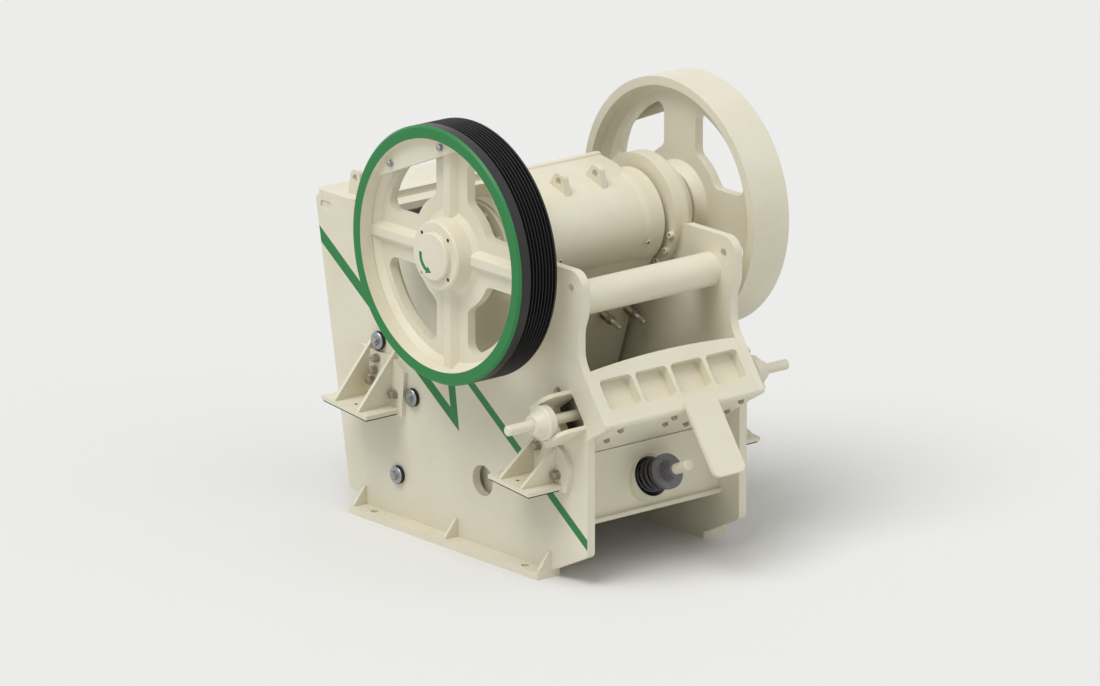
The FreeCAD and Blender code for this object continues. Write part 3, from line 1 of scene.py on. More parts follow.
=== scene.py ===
"""Finish and fittings of a stationary jaw crusher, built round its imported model.

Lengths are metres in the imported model's frame: +X runs along the shaft to the plain
flywheel, +Y to the feed end and +Z up. Sizes noted in millimetres go through mm().
"""
import logging
import math
from collections.abc import Callable, Iterator, Sequence
from contextlib import contextmanager
from dataclasses import asdict, dataclass
from enum import Enum

import bmesh
import bpy
from mathutils import Matrix, Vector


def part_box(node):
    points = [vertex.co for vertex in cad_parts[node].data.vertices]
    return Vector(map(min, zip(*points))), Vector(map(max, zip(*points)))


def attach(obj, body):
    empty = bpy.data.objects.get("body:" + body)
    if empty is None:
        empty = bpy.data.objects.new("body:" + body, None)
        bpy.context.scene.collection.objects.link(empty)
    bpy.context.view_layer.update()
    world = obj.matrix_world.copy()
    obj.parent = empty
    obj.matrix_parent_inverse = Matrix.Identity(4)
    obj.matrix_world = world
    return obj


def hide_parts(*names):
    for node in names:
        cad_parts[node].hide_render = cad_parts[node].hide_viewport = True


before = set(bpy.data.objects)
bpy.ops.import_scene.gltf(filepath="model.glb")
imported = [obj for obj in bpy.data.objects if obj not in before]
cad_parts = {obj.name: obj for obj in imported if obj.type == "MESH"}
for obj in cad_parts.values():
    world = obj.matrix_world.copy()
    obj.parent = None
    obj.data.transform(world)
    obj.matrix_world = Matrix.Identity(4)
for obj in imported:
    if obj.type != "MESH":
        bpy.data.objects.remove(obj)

logging.basicConfig(level=logging.INFO, format="%(message)s")
LOG = logging.getLogger("crusher")
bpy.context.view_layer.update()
# Half the width of a painted edge's soft border, in metres.
PAINT_BLUR = 0.0006
# How far the gloss drifts either way from a finish's roughness.
GLOSS_DRIFT = 0.05
# Least upward share of the normal of a face that counts as level.
LEVEL = 0.99

Colour = tuple[float, float, float, float]
Socket = bpy.types.NodeSocket
Piece = bpy.types.Object


def mm(length: float) -> float:
    """Metres in a length of so many millimetres."""
    return length / 1000


def slant(angle: float) -> Vector:
    """Direction square to the shaft, in degrees from +Y towards +Z."""
    turn = math.radians(angle)
    return Vector((0, math.cos(turn), math.sin(turn)))


def linear(colour: str) -> Colour:
    """Turn an sRGB hex colour into the linear colour that shaders take.

    Args:
        colour: the colour as "#RRGGBB".

    Returns:
        Linear red, green, blue and a full alpha.
    """
    channels = []
    for start in (1, 3, 5):
        share = int(colour[start:start + 2], 16) / 255
        channels.append(share / 12.92 if share <= 0.04045 else ((share + 0.055) / 1.055) ** 2.4)
    return (*channels, 1.0)


def add_node(tree: bpy.types.NodeTree, kind: str, links: dict | None = None,
             **settings: object) -> bpy.types.Node:
    """Add one shader node with its settings and inputs.

    Args:
        tree: the material's node tree.
        kind: Blender's name for the node.
        links: for an input's name or number, the socket that feeds it or its plain value.
        settings: the node's own options.

    Returns:
        The new node.
    """
    node = tree.nodes.new(kind)
    for option, choice in settings.items():
        setattr(node, option, choice)
    for place, source in (links or {}).items():
        if isinstance(source, bpy.types.NodeSocket):
            tree.links.new(source, node.inputs[place])
        else:
            node.inputs[place].default_value = source
    return node


class Side(Enum):
    """The two sides of the machine, with their sign along X."""

    LEFT = -1
    RIGHT = 1

    @property
    def word(self) -> str:
        """The side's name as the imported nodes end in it."""
        return self.name.lower()

    @property
    def outward(self) -> Vector:
        """Direction that points away from the machine on this side."""
        return Vector((self.value, 0, 0))

    def face(self, node: str) -> float:
        """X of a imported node's face that points outwards on this side."""
        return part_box(node)[self is Side.RIGHT].x


class Make(Enum):
    """How the metal under a coat of paint was made: bump grain and height in mm."""

    PLATE = (9.0, 0.10)
    CASTING = (14.0, 0.45)
    MACHINED = (4.0, 0.02)


@dataclass(frozen=True)
class ShaftLine:
    """A line along X that round parts turn on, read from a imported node's box."""

    forward: float
    height: float

    @classmethod
    def measure(cls, node: str) -> "ShaftLine":
        """Read the line from the middle of a round node."""
        low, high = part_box(node)
        return cls((low.y + high.y) / 2, (low.z + high.z) / 2)

    def point(self, along: float, radius: float, angle: float) -> Vector:
        """Point round the line, at an angle in degrees from +Y towards +Z."""
        return Vector((along, self.forward, self.height)) + slant(angle) * radius

    def ring(self, along: float, radius: float, angles: Sequence[float],
             direction: Vector) -> list[Matrix]:
        """Places on a ring round the line, each with its Z along a direction."""
        return [Bench.facing(self.point(along, radius, angle), direction) for angle in angles]

    def ahead(self, along: float, forward_mm: float, up_mm: float) -> Vector:
        """Point given in millimetres forward of the shaft line and up from the floor."""
        return Vector((along, self.forward + mm(forward_mm), mm(up_mm)))

    def leaning(self, along: float, corner: tuple[float, float], angle: float, forward_mm: float,
                rise_mm: float = 0.0) -> Vector:
        """Point so far along a slope and square to it, in mm; the slope starts at a corner."""
        return (self.ahead(along, *corner) + slant(angle) * mm(forward_mm)
                + slant(angle + 90) * mm(rise_mm))


SHAFT = ShaftLine.measure("hub_cap_left")


class Chart:
    """Measures places on a piece inside its material, from Object coordinates in metres."""

    def __init__(self, tree: bpy.types.NodeTree) -> None:
        """Read the Object coordinates once and take X out of them."""
        self.tree = tree
        self.place: Socket = add_node(tree, "ShaderNodeTexCoord").outputs["Object"]
        self.x: Socket = add_node(tree, "ShaderNodeSeparateXYZ", {0: self.place}).outputs["X"]

    def above(self, measured: Socket, limit: float) -> Socket:
        """Mask that is 1 where a measure in metres lies above a limit."""
        return add_node(self.tree, "ShaderNodeMapRange", {
            "Value": measured, "From Min": limit - PAINT_BLUR,
            "From Max": limit + PAINT_BLUR}).outputs[0]

    def both(self, first: Socket, second: Socket) -> Socket:
        """Mask of the ground that two masks share."""
        return add_node(self.tree, "ShaderNodeMath", {0: first, 1: second},
                        operation="MULTIPLY").outputs[0]

    def either(self, first: Socket, second: Socket) -> Socket:
        """Mask of all the ground that two masks cover."""
        return add_node(self.tree, "ShaderNodeMath", {0: first, 1: second},
                        operation="MAXIMUM").outputs[0]

    def besides(self, mask: Socket) -> Socket:
        """Mask of the ground that another mask leaves bare."""
        return add_node(self.tree, "ShaderNodeMath", {0: 1.0, 1: mask},
                        operation="SUBTRACT").outputs[0]

    def between(self, measured: Socket, low: float, high: float) -> Socket:
        """Mask that is 1 where a measure lies between two limits."""
        return self.both(self.above(measured, low), self.besides(self.above(measured, high)))

    def cover(self, ground: Socket | Colour, coat: Socket | Colour, mask: Socket) -> Socket:
        """Colour of a ground under a coat that lies where a mask is 1."""
        return add_node(self.tree, "ShaderNodeMix", {"Factor": mask, "A": ground, "B": coat},
                        data_type="RGBA").outputs["Result"]

    def breadth(self) -> Socket:
        """Distance from the machine's middle plane."""
        return add_node(self.tree, "ShaderNodeMath", {0: self.x}, operation="ABSOLUTE").outputs[0]

    def radius(self) -> Socket:
        """Distance from the shaft's centre line."""
        centred = add_node(self.tree, "ShaderNodeVectorMath", {
            0: self.place, 1: (0, SHAFT.forward, SHAFT.height)}, operation="SUBTRACT").outputs[0]
        flat = add_node(self.tree, "ShaderNodeVectorMath", {0: centred, 1: (0, 1, 1)},
                        operation="MULTIPLY").outputs[0]
        return add_node(self.tree, "ShaderNodeVectorMath", {0: flat},
                        operation="LENGTH").outputs["Value"]

    def patch(self, corners: Sequence[Vector]) -> Socket:
        """Mask of a convex patch seen from the side.

        Args:
            corners: its corners, counter-clockwise with +Y to the right.

        Returns:
            The mask, 1 inside the patch.
        """
        mask = None
        for index, corner in enumerate(corners):
            edge = corners[(index + 1) % len(corners)] - corner
            inward = Vector((0, -edge.z, edge.y)).normalized()
            reach = add_node(self.tree, "ShaderNodeVectorMath", {
                0: self.place, 1: tuple(inward)}, operation="DOT_PRODUCT").outputs["Value"]
            inside = self.above(reach, inward.dot(corner))
            mask = inside if mask is None else self.both(mask, inside)
        return mask


@dataclass(frozen=True)
class Finish:
    """A surface finish: its colour, gloss and grain."""

    name: str
    colour: str
    roughness: float
    metallic: float = 0.0
    ior: float = 1.5
    grain_mm: float = 3.0
    grain_height_mm: float = 0.02
    edge_mm: float = 1.0
    tint: str = ""
    tint_share: float = 0.5
    tint_mm: float = 300.0
    coat: float = 0.0

    def material(self) -> bpy.types.Material:
        """The Blender material, made on first use and shared after that."""
        made = bpy.data.materials.get(self.name)
        return made if made else self.build()

    def build(self) -> bpy.types.Material:
        """Make the material: colour cloud, gloss cloud, grain and worn-in edge.

        Returns:
            The new material.
        """
        material = bpy.data.materials.new(self.name)
        material.use_nodes = True
        tree = material.node_tree
        tree.nodes.clear()
        chart = Chart(tree)
        shader = add_node(tree, "ShaderNodeBsdfPrincipled", {
            "Base Color": self.colouring(chart), "Roughness": self.gloss(chart),
            "Metallic": self.metallic, "Coat Weight": self.coat, "Coat Roughness": 0.25,
            "Normal": self.relief(chart)})
        if not self.metallic:
            shader.inputs["IOR"].default_value = self.ior
        add_node(tree, "ShaderNodeOutputMaterial", {"Surface": shader.outputs[0]})
        return material

    def cloud(self, chart: Chart, size: float) -> Socket:
        """Soft noise whose patches are about so many millimetres across."""
        return add_node(chart.tree, "ShaderNodeTexNoise", {
            "Vector": chart.place, "Scale": 1 / mm(size), "Detail": 3.0,
            "Roughness": 0.55}).outputs["Fac"]

    def colouring(self, chart: Chart) -> Socket | Colour:
        """Base colour with a faint cloud of its tint."""
        if not self.tint:
            return linear(self.colour)
        share = add_node(chart.tree, "ShaderNodeMapRange", {
            "Value": self.cloud(chart, self.tint_mm), "From Min": 0.35, "From Max": 0.75,
            "To Max": self.tint_share}).outputs[0]
        return chart.cover(linear(self.colour), linear(self.tint), share)

    def gloss(self, chart: Chart) -> Socket:
        """Roughness that drifts a little over the surface."""
        return add_node(chart.tree, "ShaderNodeMapRange", {
            "Value": self.cloud(chart, self.tint_mm / 2), "From Min": 0.3, "From Max": 0.7,
            "To Min": self.roughness - GLOSS_DRIFT,
            "To Max": self.roughness + GLOSS_DRIFT}).outputs[0]

    def relief(self, chart: Chart) -> Socket:
        """Grain of the surface over softly rounded edges."""
        rounded = add_node(chart.tree, "ShaderNodeBevel", {"Radius": mm(self.edge_mm)}, samples=4)
        return add_node(chart.tree, "ShaderNodeBump", {
            "Strength": 1.0, "Distance": mm(self.grain_height_mm),
            "Height": self.cloud(chart, self.grain_mm),
            "Normal": rounded.outputs[0]}).outputs[0]


def cream_paint(make: Make, name: str) -> Finish:
    """Two-pack polyurethane enamel sprayed in a warm cream.

    Semi-gloss with faint orange peel; it drifts to a deeper stone shade over a hand's
    breadth, so that broad plates don't look flat.

    Args:
        make: the metal under the paint, which sets the grain.
        name: the material's name.

    Returns:
        The finish.
    """
    grain, height = make.value
    return Finish(name, "#E2DDC9", roughness=0.42, ior=1.45, grain_mm=grain,
                  grain_height_mm=height, edge_mm=6.0 if make is Make.CASTING else 3.0,
                  tint="#CFC6A6", tint_share=0.35, tint_mm=420.0)


CREAM_PLATE = cream_paint(Make.PLATE, "cream_enamel_on_rolled_plate")
CREAM_CASTING = cream_paint(Make.CASTING, "cream_enamel_on_cast_steel")
CREAM_MACHINED = cream_paint(Make.MACHINED, "cream_enamel_on_turned_steel")

# Austenitic manganese steel as cast: dark, brown-grey and matt, with a sandy skin.
MANGANESE = Finish("manganese_steel_casting", "#5D5750", roughness=0.62, metallic=0.55,
                   grain_mm=12.0, grain_height_mm=0.6, edge_mm=5.0, tint="#7A6A58",
                   tint_mm=90.0)
# Bright zinc plate on bolts: pale, slightly clouded grey metal with blurred highlights.
ZINC = Finish("zinc_plated_steel", "#A9ABB0", roughness=0.36, metallic=1.0, tint="#8E8A80",
              tint_share=0.6, tint_mm=30.0)
# Freshly cut threads and rod tips: the palest metal here, with a broad soft sheen.
BRIGHT_ROD = Finish("bright_threaded_rod", "#CFCBC2", roughness=0.4, metallic=0.6, grain_mm=2.0,
                    grain_height_mm=0.01, edge_mm=0.8, tint="#B3ADA0", tint_mm=25.0)
# Oiled turned steel on the shaft and wedges: darker and smoother than the zinc.
TURNED_STEEL = Finish("turned_steel", "#8C877E", roughness=0.3, metallic=1.0, grain_mm=2.0,
                      grain_height_mm=0.01, edge_mm=1.5, tint="#6F675A", tint_mm=60.0)
# Stoved black enamel on the spring: deep black with a clear, narrow highlight.
SPRING_BLACK = Finish("black_enamelled_spring_steel", "#19191B", roughness=0.3, grain_mm=6.0,
                      grain_height_mm=0.04, tint="#2A2A2C", tint_mm=80.0, coat=0.3)
# Moulded black rubber under washers and pads: matt and slightly grey.
RUBBER = Finish("moulded_black_rubber", "#1E1E1F", roughness=0.8, grain_mm=4.0,
                grain_height_mm=0.08, edge_mm=2.0, tint="#2B2A29", tint_share=0.6, tint_mm=50.0)
# Yellow-passivated zinc on the jaw bolts' collars: dull metal with a straw tone.
STRAW_ZINC = Finish("straw_zinc_collar", "#A79B80", roughness=0.42, metallic=0.6,
                    tint="#85795F", tint_share=0.6, tint_mm=20.0)
# Phosphated spring washer and nut: flat mid grey that hardly mirrors.
PHOSPHATE = Finish("phosphated_steel", "#77757A", roughness=0.5, metallic=0.5, grain_mm=4.0,
                   grain_height_mm=0.03, edge_mm=1.5, tint="#626065", tint_mm=50.0)
# Plain bolts left oiled: duller and browner than zinc, with hardly a highlight.
OILED_BOLT = Finish("oiled_bolt_steel", "#A79D8E", roughness=0.48, metallic=0.65,
                    grain_height_mm=0.03, edge_mm=1.5, tint="#80766A", tint_share=0.6,
                    tint_mm=25.0)
# Painted shade inside drilled holes and hexagon sockets: a dark brown-black with steel's dull
# gloss, put where a deep hole would fall into shade.
PAINTED_HOLE_SHADE = Finish("painted_hole_shade", "#2E2A24", roughness=0.6, metallic=0.4, edge_mm=0.5)

GREEN = "#1A7A3B"
TREAD_BLACK = "#0F0F11"
BAND_BLACK = "#17171A"


@dataclass(frozen=True)
class StripedPlatePaint(Finish):
    """Cream enamel on the side plates with the green zigzag stripe on the outer faces."""

    outer_x: float = 0.659

    def colouring(self, chart: Chart) -> Socket:
        """Cream ground with three joined green bands."""
        outside = chart.above(chart.breadth(), self.outer_x - mm(1))
        stripe = None
        for corners in STRIPE_BANDS:
            band = chart.patch([SHAFT.ahead(0, *corner) for corner in corners])
            stripe = band if stripe is None else chart.either(stripe, band)
        return chart.cover(super().colouring(chart), linear(GREEN), chart.both(outside, stripe))


# Corners of the stripe's bands, mm forward of the shaft line and up from the floor.
STRIPE_BANDS = (
    ((311, 742), (1760, 1742), (1760, 1837), (398, 886)),
    ((311, 742), (398, 886), (470, 1330), (389, 1330)),
    ((-941, 249), (480, 1254), (480, 1325), (-941, 321)),
)


@dataclass(frozen=True)
class WheelPaint(Finish):
    """Cream enamel on the drive wheel, with a green face ring and a black grooved tread."""

    face_x: float = 1.107
    ring_inner: float = 0.7435
    ring_depth: float = 0.0145
    tread_inner: float = 0.795
    groove_start_x: float = 1.024

    def colouring(self, chart: Chart) -> Socket:
        """Cream, then green on the rim's face, then dark grey and black round the tread."""
        radius, along = chart.radius(), chart.breadth()
        at_face = chart.above(along, self.face_x - self.ring_depth)
        ring = chart.both(at_face, chart.above(radius, self.ring_inner))
        ringed = chart.cover(super().colouring(chart), linear(GREEN), ring)
        blacks = chart.cover(linear(TREAD_BLACK), linear(BAND_BLACK),
                             chart.above(along, self.groove_start_x))
        tread = chart.both(chart.besides(at_face), chart.above(radius, self.tread_inner))
        return chart.cover(ringed, blacks, tread)


@dataclass(frozen=True)
class ArrowPaint(Finish):
    """Cream enamel on the hub caps with a green turning arrow."""

    radius: float = 0.103
    width: float = 0.027
    start: float = 8.0
    end: float = -64.0
    head_turn: float = 27.0

    def colouring(self, chart: Chart) -> Socket:
        """Cream ground, a green arc and its head."""
        half = self.width / 2
        arc = chart.between(chart.radius(), self.radius - half, self.radius + half)
        reach = self.radius * 1.5
        wedge = chart.patch([SHAFT.point(0, radius, angle) for radius, angle in (
            (0, 0), (reach, self.end), (reach, (self.end + self.start) / 2),
            (reach, self.start))])
        head = chart.patch([SHAFT.point(0, radius, angle) for radius, angle in (
            (self.radius - self.width, self.end), (self.radius, self.end - self.head_turn),
            (self.radius + self.width, self.end))])
        arrow = chart.either(chart.both(arc, wedge), head)
        return chart.cover(super().colouring(chart), linear(GREEN), arrow)


def like_cream(kind: type[Finish], name: str, **sizes: float) -> Finish:
    """A painted finish of another kind, with its own sizes, on the ground of the plates."""
    return kind(**{**asdict(CREAM_PLATE), "name": name, **sizes})


STRIPED_CREAM = like_cream(StripedPlatePaint, "cream_enamel_with_green_stripes",
                           outer_x=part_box("side_plate_right")[1].x)
WHEEL_CREAM = like_cream(WheelPaint, "cream_enamel_with_green_ring",
                         face_x=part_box("plain_flywheel")[1].x)
ARROW_CREAM = like_cream(ArrowPaint, "cream_enamel_with_turning_arrow")


class Bench:
    """The modelling bench: Blender's operators, used on one piece at a time."""

    @staticmethod
    def stand(name: str, data: bpy.types.ID) -> Piece:
        """Put a new object that holds some data into the scene."""
        made = bpy.data.objects.new(name, data)
        bpy.context.scene.collection.objects.link(made)
        return made

    @staticmethod
    def add(primitive: Callable[..., set[str]], **sizes: object) -> Piece:
        """Add a primitive with nothing else selected, its place kept in its mesh."""
        bpy.ops.object.select_all(action="DESELECT")
        primitive(**sizes)
        bpy.ops.object.transform_apply(location=True, rotation=True, scale=True)
        return bpy.context.active_object

    @staticmethod
    def pick(*pieces: Piece) -> None:
        """Select these pieces alone and make the first the active one."""
        bpy.ops.object.select_all(action="DESELECT")
        for piece in pieces:
            piece.select_set(True)
        bpy.context.view_layer.objects.active = pieces[0]

    @staticmethod
    @contextmanager
    def editing(piece: Piece) -> Iterator[None]:
        """Open a piece in edit mode with nothing selected, and close it afterwards."""
        Bench.pick(piece)
        bpy.ops.object.mode_set(mode="EDIT")
        bpy.ops.mesh.select_mode(type="FACE")
        bpy.ops.mesh.select_all(action="DESELECT")
        yield
        bpy.ops.object.mode_set(mode="OBJECT")

    @staticmethod
    def choose_faces(piece: Piece, wanted: Callable[[bmesh.types.BMFace], bool]) -> None:
        """Select the faces of an open piece that pass a test, and no others."""
        bpy.ops.mesh.select_all(action="DESELECT")
        mesh = bmesh.from_edit_mesh(piece.data)
        for face in mesh.faces:
            if wanted(face):
                face.select_set(True)
        bmesh.update_edit_mesh(piece.data)

    @staticmethod
    def prism(sides: int, radius: float, height: float, low: float = 0.0,
              chamfer: float = 0.0) -> Piece:
        """Add an upright prism that stands at a height on the bench.

        Args:
            sides: number of sides, many for a round one.
            radius: distance from the middle to a corner.
            height: its height.
            low: Z of its foot.
            chamfer: how far its top edge is broken: the top is let down, inset and lifted back.

        Returns:
            The new piece.
        """
        piece = Bench.add(bpy.ops.mesh.primitive_cylinder_add, vertices=sides, radius=radius,
                          depth=height, location=(0, 0, low + height / 2))
        if chamfer:
            with Bench.editing(piece):
                Bench.choose_faces(piece, lambda face: face.normal.z > LEVEL)
                bpy.ops.transform.translate(value=(0, 0, -chamfer))
                bpy.ops.mesh.inset(thickness=chamfer)
                bpy.ops.transform.translate(value=(0, 0, chamfer))
        return piece

    @staticmethod
    def lathe(profile: Sequence[tuple[float, float]], steps: int = 32) -> Piece:
        """Spin an open profile about Z into a closed round piece.

        Args:
            profile: (radius, height) of its points, from the axis or a bore outwards.
            steps: facets round the piece.

        Returns:
            The new piece, its faces pointing outwards.
        """
        mesh = bpy.data.meshes.new("turned")
        count = len(profile)
        mesh.from_pydata([(radius, 0, height) for radius, height in profile],
                         [(index, index + 1) for index in range(count - 1)], [])
        piece = Bench.stand("turned", mesh)
        with Bench.editing(piece):
            bpy.ops.mesh.select_all(action="SELECT")
            bpy.ops.mesh.spin(steps=steps, angle=math.tau, center=(0, 0, 0), axis=(0, 0, 1))
            Bench.seal()
        return piece

    @staticmethod
    def seal() -> None:
        """Merge an open piece's doubles, fill its holes and turn its faces outwards."""
        bpy.ops.mesh.select_all(action="SELECT")
        bpy.ops.mesh.remove_doubles(threshold=mm(0.05))
        bpy.ops.mesh.select_all(action="SELECT")
        bpy.ops.mesh.fill_holes(sides=0)
        bpy.ops.mesh.select_all(action="SELECT")
        bpy.ops.mesh.normals_make_consistent(inside=False)

    @staticmethod
    def paint(piece: Piece, *finishes: Finish, smooth: float = 0.0) -> None:
        """Give a piece its finishes, one for each slot, and smooth it if an angle is given."""
        piece.data.materials.clear()
        for finish in finishes:
            piece.data.materials.append(finish.material())
        if smooth:
            Bench.smooth(piece, smooth)

    @staticmethod
    def smooth(piece: Piece, angle: float) -> None:
        """Shade a piece smooth, but for edges sharper than an angle."""
        Bench.pick(piece)
        bpy.ops.object.shade_smooth_by_angle(angle=math.radians(angle))

    @staticmethod
    def join(name: str, parts: Sequence[Piece]) -> Piece:
        """Join parts into one named piece."""
        Bench.pick(*parts)
        if len(parts) > 1:
            bpy.ops.object.join()
        piece = bpy.context.active_object
        piece.name = name
        piece.data.name = name
        return piece

    @staticmethod
    def facing(place: Vector, direction: Vector, turn: float = 0.0) -> Matrix:
        """Matrix that stands a piece at a place with its Z along a direction."""
        aim = direction.to_track_quat("Z", "Y").to_matrix().to_4x4()
        return Matrix.Translation(place) @ aim @ Matrix.Rotation(math.radians(turn), 4, "Z")


def fit(name: str, pattern: Piece, places: Sequence[Matrix], body: str,
        stands_for: Sequence[str] = ()) -> None:
    """Copy a pattern to its places, join the copies and fasten them to a body.

    Args:
        name: name of the joined piece, whose place is in its mesh.
        pattern: the modelled pattern, which is used up.
        places: where each copy stands.
        body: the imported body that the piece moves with.
        stands_for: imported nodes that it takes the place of.
    """
    copies = []
    for place in places:
        copy = Bench.stand(name, pattern.data.copy())
        copy.matrix_world = place
        copies.append(copy)
    Bench.pick(*copies)
    bpy.ops.object.transform_apply(location=True, rotation=True, scale=True)
    bpy.data.objects.remove(pattern)
    piece = Bench.join(name, copies)
    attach(piece, body)
    if stands_for:
        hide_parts(*stands_for)
    LOG.info("%s: %d faces on %s", piece.name, len(piece.data.polygons), body)


def dress(finish: Finish, *nodes: str) -> None:
    """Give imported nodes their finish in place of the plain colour."""
    for node in nodes:
        Bench.paint(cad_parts[node], finish)
        LOG.info("%s: %s", node, finish.name)


@dataclass(frozen=True)
class HexBolt:
    """Hexagon bolt head on a round washer, standing on Z = 0."""

    across: float = mm(36)
    head: float = mm(20)
    washer_radius: float = mm(30)
    washer: float = mm(5)
    finish: Finish = OILED_BOLT

    def model(self) -> Piece:
        """Model the washer and the chamfered head."""
        ring = Bench.prism(24, self.washer_radius, self.washer, chamfer=self.washer / 4)
        head = Bench.prism(6, self.across / math.sqrt(3), self.head, self.washer, self.head / 8)
        piece = Bench.join("hex_bolt", [ring, head])
        Bench.paint(piece, self.finish, smooth=25.0)
        return piece


@dataclass(frozen=True)
class StudNut:
    """Washer, hexagon nut and the threaded end of a stud, standing on Z = 0."""

    thread: float = mm(30)
    nut: float = mm(14)
    stud: float = mm(4)
    washer_radius: float = mm(30)
    washer: float = mm(3)
    pitch: float = mm(3.5)

    def model(self) -> Piece:
        """Model the washer, the nut and the stud's turned end."""
        ring = Bench.prism(24, self.washer_radius, self.washer, chamfer=self.washer / 4)
        nut = Bench.prism(6, self.thread * 0.95, self.nut, self.washer, self.nut / 9)
        stud = Bench.lathe(self.stud_profile(), 20)
        piece = Bench.join("stud_nut", [ring, nut, stud])
        Bench.paint(piece, ZINC, smooth=25.0)
        return piece

    def stud_profile(self) -> list[tuple[float, float]]:
        """Half section of the stud's end, with a few turns of thread drawn as rings."""
        radius, pitch = self.thread / 2, self.pitch
        low = self.washer + self.nut - pitch
        profile = [(0.0, low), (radius, low)]
        for turn in range(int(self.stud / pitch)):
            height = low + pitch * (turn + 1)
            profile += [(radius * 0.9, height + pitch / 2), (radius, height + pitch)]
        top = profile[-1][1] + pitch / 2
        return [*profile, (radius * 0.85, top), (0.0, top)]


@dataclass(frozen=True)
class CoilSpring:
    """Compression spring with a closed turn at each end, standing on Z = 0."""

    radius: float
    wire: float
    height: float
    turns: int = 7

    def model(self) -> Piece:
        """Model the open turns, then close each end with a flat one."""
        coil = Bench.add(bpy.ops.mesh.primitive_circle_add, vertices=14, radius=self.wire,
                         location=(self.radius, 0, self.wire), rotation=(math.radians(90), 0, 0))
        screw = coil.modifiers.new("turns", "SCREW")
        screw.iterations = self.turns
        screw.screw_offset = (self.height - 2 * self.wire) / self.turns
        screw.steps = screw.render_steps = 40
        bpy.ops.object.modifier_apply(modifier=screw.name)
        with Bench.editing(coil):
            Bench.seal()
        piece = Bench.join("coil_spring", [coil, self.flat_turn(self.wire),
                                           self.flat_turn(self.height - self.wire)])
        Bench.paint(piece, SPRING_BLACK, smooth=60.0)
        return piece

    def flat_turn(self, height: float) -> Piece:
        """One closed ring of wire at a height."""
        return Bench.add(bpy.ops.mesh.primitive_torus_add, major_radius=self.radius,
                         minor_radius=self.wire, major_segments=40, minor_segments=14,
                         location=(0, 0, height))


@dataclass(frozen=True)
class JawBolt:
    """Tie bolt of the swing jaw plate: ridged collar, nut and threaded end on Z = 0."""

    collar_radius: float = mm(29)
    collar: float = mm(68)
    nut_radius: float = mm(32)
    nut: float = mm(29)
    rod_radius: float = mm(17.5)
    reach: float = mm(187)
    washers: int = 6
    threads: int = 8
    pitch: float = mm(4)

    def model(self) -> Piece:
        """Model the three parts and join them."""
        collar = Bench.lathe(self.collar_profile(), 28)
        nut = Bench.prism(6, self.nut_radius, self.nut, self.collar, mm(3))
        rod = Bench.lathe(self.rod_profile(), 24)
        for part, finish in ((collar, STRAW_ZINC), (nut, OILED_BOLT), (rod, BRIGHT_ROD)):
            Bench.paint(part, finish, smooth=30.0)
        return Bench.join("jaw_bolt", [collar, nut, rod])

    def collar_profile(self) -> list[tuple[float, float]]:
        """Half section of a pack of dished spring washers."""
        step, inner = self.collar / self.washers, self.collar_radius * 0.8
        profile = [(0.0, 0.0), (inner, 0.0)]
        for washer in range(self.washers):
            profile += [(self.collar_radius, (washer + 0.5) * step), (inner, (washer + 1) * step)]
        return [*profile, (0.0, self.collar)]

    def rod_profile(self) -> list[tuple[float, float]]:
        """Half section of the rod's end, threaded near the nut and plain at the tip."""
        radius, pitch, core = self.rod_radius, self.pitch, self.rod_radius * 0.93
        low = self.collar + self.nut - pitch
        profile = [(0.0, low), (radius, low)]
        for turn in range(self.threads):
            height = low + pitch * (turn + 1)
            profile += [(core, height + pitch / 2), (radius, height + pitch)]
        return [*profile, (core, profile[-1][1] + pitch / 2), (core, self.reach - pitch),
                (radius * 0.7, self.reach), (0.0, self.reach)]


@dataclass(frozen=True)
class DrilledHole:
    """Mouth of a drilled hole: a shallow disc painted dark as the hole's shade, in a thin painted
    lip, standing on Z = 0.
    """

    radius: float = mm(11)
    lip: float = mm(1.2)

    def model(self) -> Piece:
        """Model the lip and sink the disc of painted shade in it."""
        piece = Bench.prism(28, self.radius * 1.12, self.lip)
        # The second slot is painted shade: it darkens the sunk disc as if it were a deep hole.
        Bench.paint(piece, CREAM_MACHINED, PAINTED_HOLE_SHADE)
        with Bench.editing(piece):
            Bench.choose_faces(piece, lambda face: face.normal.z > LEVEL)
            bpy.ops.mesh.inset(thickness=self.radius * 0.12)
            piece.active_material_index = 1
            bpy.ops.mesh.extrude_region_move(
                TRANSFORM_OT_translate={"value": (0, 0, -self.lip * 0.8)})
            bpy.ops.object.material_slot_assign()
        return piece


@dataclass(frozen=True)
class CapScrew:
    """Painted cap screw with its hexagon socket painted dark as shade, standing on Z = 0."""

    radius: float = mm(22)
    height: float = mm(24)
    socket: float = mm(12)

    def model(self) -> Piece:
        """Model the head, break its rim and sink the socket."""
        piece = Bench.prism(24, self.radius, self.height, chamfer=self.radius / 8)
        # The second slot is painted shade that darkens the sunk socket.
        Bench.paint(piece, CREAM_MACHINED, PAINTED_HOLE_SHADE)
        at_top = self.height - mm(0.5)
        with Bench.editing(piece):
            Bench.choose_faces(piece, lambda face: face.calc_center_median().z > at_top)
            bpy.ops.mesh.inset(thickness=self.radius * 7 / 8 - self.socket)
            self.square_off(piece)
            piece.active_material_index = 1
            bpy.ops.mesh.extrude_region_move(
                TRANSFORM_OT_translate={"value": (0, 0, -self.height * 0.6)})
            bpy.ops.object.material_slot_assign()
        Bench.smooth(piece, 30.0)
        return piece

    def square_off(self, piece: Piece) -> None:
        """Draw the selected round rim in to a hexagon."""
        mesh = bmesh.from_edit_mesh(piece.data)
        face = next(face for face in mesh.faces if face.select)
        sixth = math.radians(60)
        for vertex in face.verts:
            turn = math.atan2(vertex.co.y, vertex.co.x) % sixth - sixth / 2
            vertex.co.xy = vertex.co.xy.normalized() * (
                self.socket * math.cos(sixth / 2) / math.cos(turn))
        bmesh.update_edit_mesh(piece.data)


